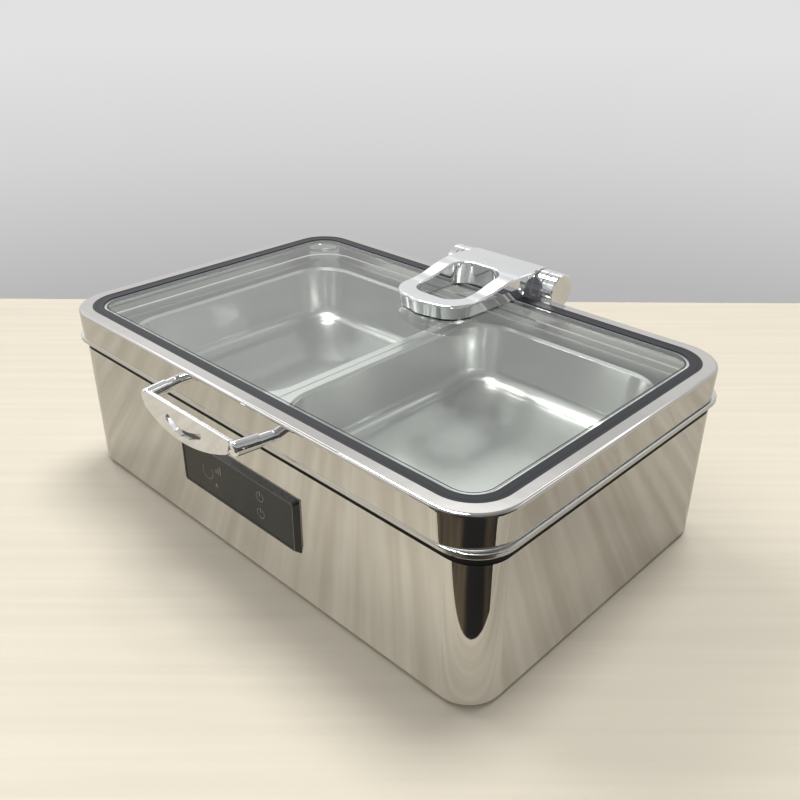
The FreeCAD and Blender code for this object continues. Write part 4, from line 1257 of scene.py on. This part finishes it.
    def flag(self) -> None:
        """Stand a dark T-shaped card just outside the frame, which shows only in mirrors."""
        foot = self.away() * self.flag_near
        across = self.across()
        corners = [foot + across * side + Vector((0, 0, height)) for side, height in self.flag_outline]
        piece, s = self.card("dark_flag", corners, self.flag_rough)
        turn = (0.0, 0.0, -math.radians(self.azimuth))
        streaks = turned(s.tree, object_place(s.tree), turn, scale=(9.0, 0.0, 1.5))
        grain = noise(s.tree, streaks, scale=2.0, detail=3.0)
        s.colour(sharpened(s.tree, grain, level=0.45, gain=5.0), *self.flag_tints)
        piece.visible_camera = False
        piece.visible_diffuse = False
        piece.visible_shadow = False
        piece.visible_transmission = False

    def ramp(self, tree: Tree, height: Socket, stops: tuple[Pair, ...]) -> Socket:
        """Grey by the height of a direction.

        Args:
            tree: World tree.
            height: Upward part of the direction, -1 to 1.
            stops: Pairs of height and grey level.

        Returns:
            The colour's socket.
        """
        node = tree.nodes.new("ShaderNodeValToRGB")
        link(tree, maths(tree, "MULTIPLY", maths(tree, "ADD", height, 1.0), 0.5), node.inputs[0])
        points = node.color_ramp.elements
        while len(points) < len(stops):
            points.new(0.5)
        for point, (level, grey) in zip(points, stops):
            point.position = (level + 1.0) / 2.0
            point.color = (grey, grey, grey, 1.0)
        return node.outputs[0]

    def surround(self) -> None:
        """Shade the surround by direction: a pale wall beyond, a light ceiling, a darker room behind."""
        world = bpy.data.worlds.new("studio")
        bpy.context.scene.world = world
        world.use_nodes = True
        tree = world.node_tree
        look = tree.nodes.new("ShaderNodeTexCoord").outputs["Generated"]
        height = upward(tree, look)
        side = span(tree, vectors(tree, "DOT_PRODUCT", look, self.away()), start=-0.35, end=0.45, ease=True)
        beyond = self.ramp(tree, height, self.wall_beyond)
        behind = self.ramp(tree, height, self.room_behind)
        leaning = vectors(tree, "DOT_PRODUCT", look, self.across())
        high = maths(tree, "MULTIPLY", height, 4.0, clamp=True)
        lean = maths(tree, "MULTIPLY", maths(tree, "MULTIPLY", leaning, high), -self.left_gain)
        background = tree.nodes["Background"]
        link(tree, blend(tree, side, beyond, behind), background.inputs["Color"])
        link(tree, maths(tree, "ADD", lean, 1.0), background.inputs["Strength"])

    def clear_panes(self) -> bpy.types.Collection:
        """List the panes that the soft boxes leave out, so that they don't show there as white squares.

        Returns:
            A collection that leaves the lid's glass out and lets everything else be lit.
        """
        group = bpy.data.collections.new("clear_panes")
        group.objects.link(frame["nodes"]["lid_glass"])
        for entry in group.collection_objects:
            entry.light_linking.link_state = "EXCLUDE"
        return group

    def lights(self) -> None:
        """Hang the two soft boxes and add the even light of three broad windows."""
        overhead = self.away() * self.top_near + self.across() * self.top_aside
        overhead = overhead + Vector((0, 0, 1)) * self.top_height
        panes = self.clear_panes()
        SoftBox("top", overhead, side=0.62, power=34.0).hang(Vector(self.aim), panes)
        SoftBox("left", Vector(self.left_place), side=0.52, power=27.0).hang(Vector(self.aim), panes)
        for window in self.windows:
            window.hang()

    def camera(self) -> None:
        """Set the camera at the photograph's place, with its small roll."""
        a, e, r = (math.radians(v) for v in (self.azimuth, self.elevation, self.roll))
        back = Vector((math.sin(a) * math.cos(e), -math.cos(a) * math.cos(e), math.sin(e)))
        right = (-back).cross(Vector((0, 0, 1))).normalized()
        up = right.cross(-back)
        x = right * math.cos(r) + up * math.sin(r)
        y = up * math.cos(r) - right * math.sin(r)
        data = bpy.data.cameras.new("camera")
        data.sensor_width = 36.0
        data.lens = self.lens
        data.clip_start = 0.01
        data.clip_end = 50.0
        camera = bpy.data.objects.new("camera", data)
        place = Matrix.Translation(Vector(self.target) + back * self.distance)
        camera.matrix_world = place @ Matrix((x, y, back)).transposed().to_4x4()
        bpy.context.scene.collection.objects.link(camera)
        bpy.context.scene.camera = camera

    def build(self) -> None:
        """Set up the studio."""
        self.camera()
        self.floor()
        self.flag()
        self.surround()
        self.lights()
        bpy.context.scene.view_settings.view_transform = "Standard"


def main() -> None:
    """Build every sub-assembly in order."""
    logging.basicConfig(level=logging.INFO, format="%(message)s")
    for assembly in (Studio(), Shell(), Pans(), Lid(), Hinge(), Panel(), Heating()):
        LOG.info("building %s", type(assembly).__name__)
        assembly.build()


if __name__ == "__main__":
    main()
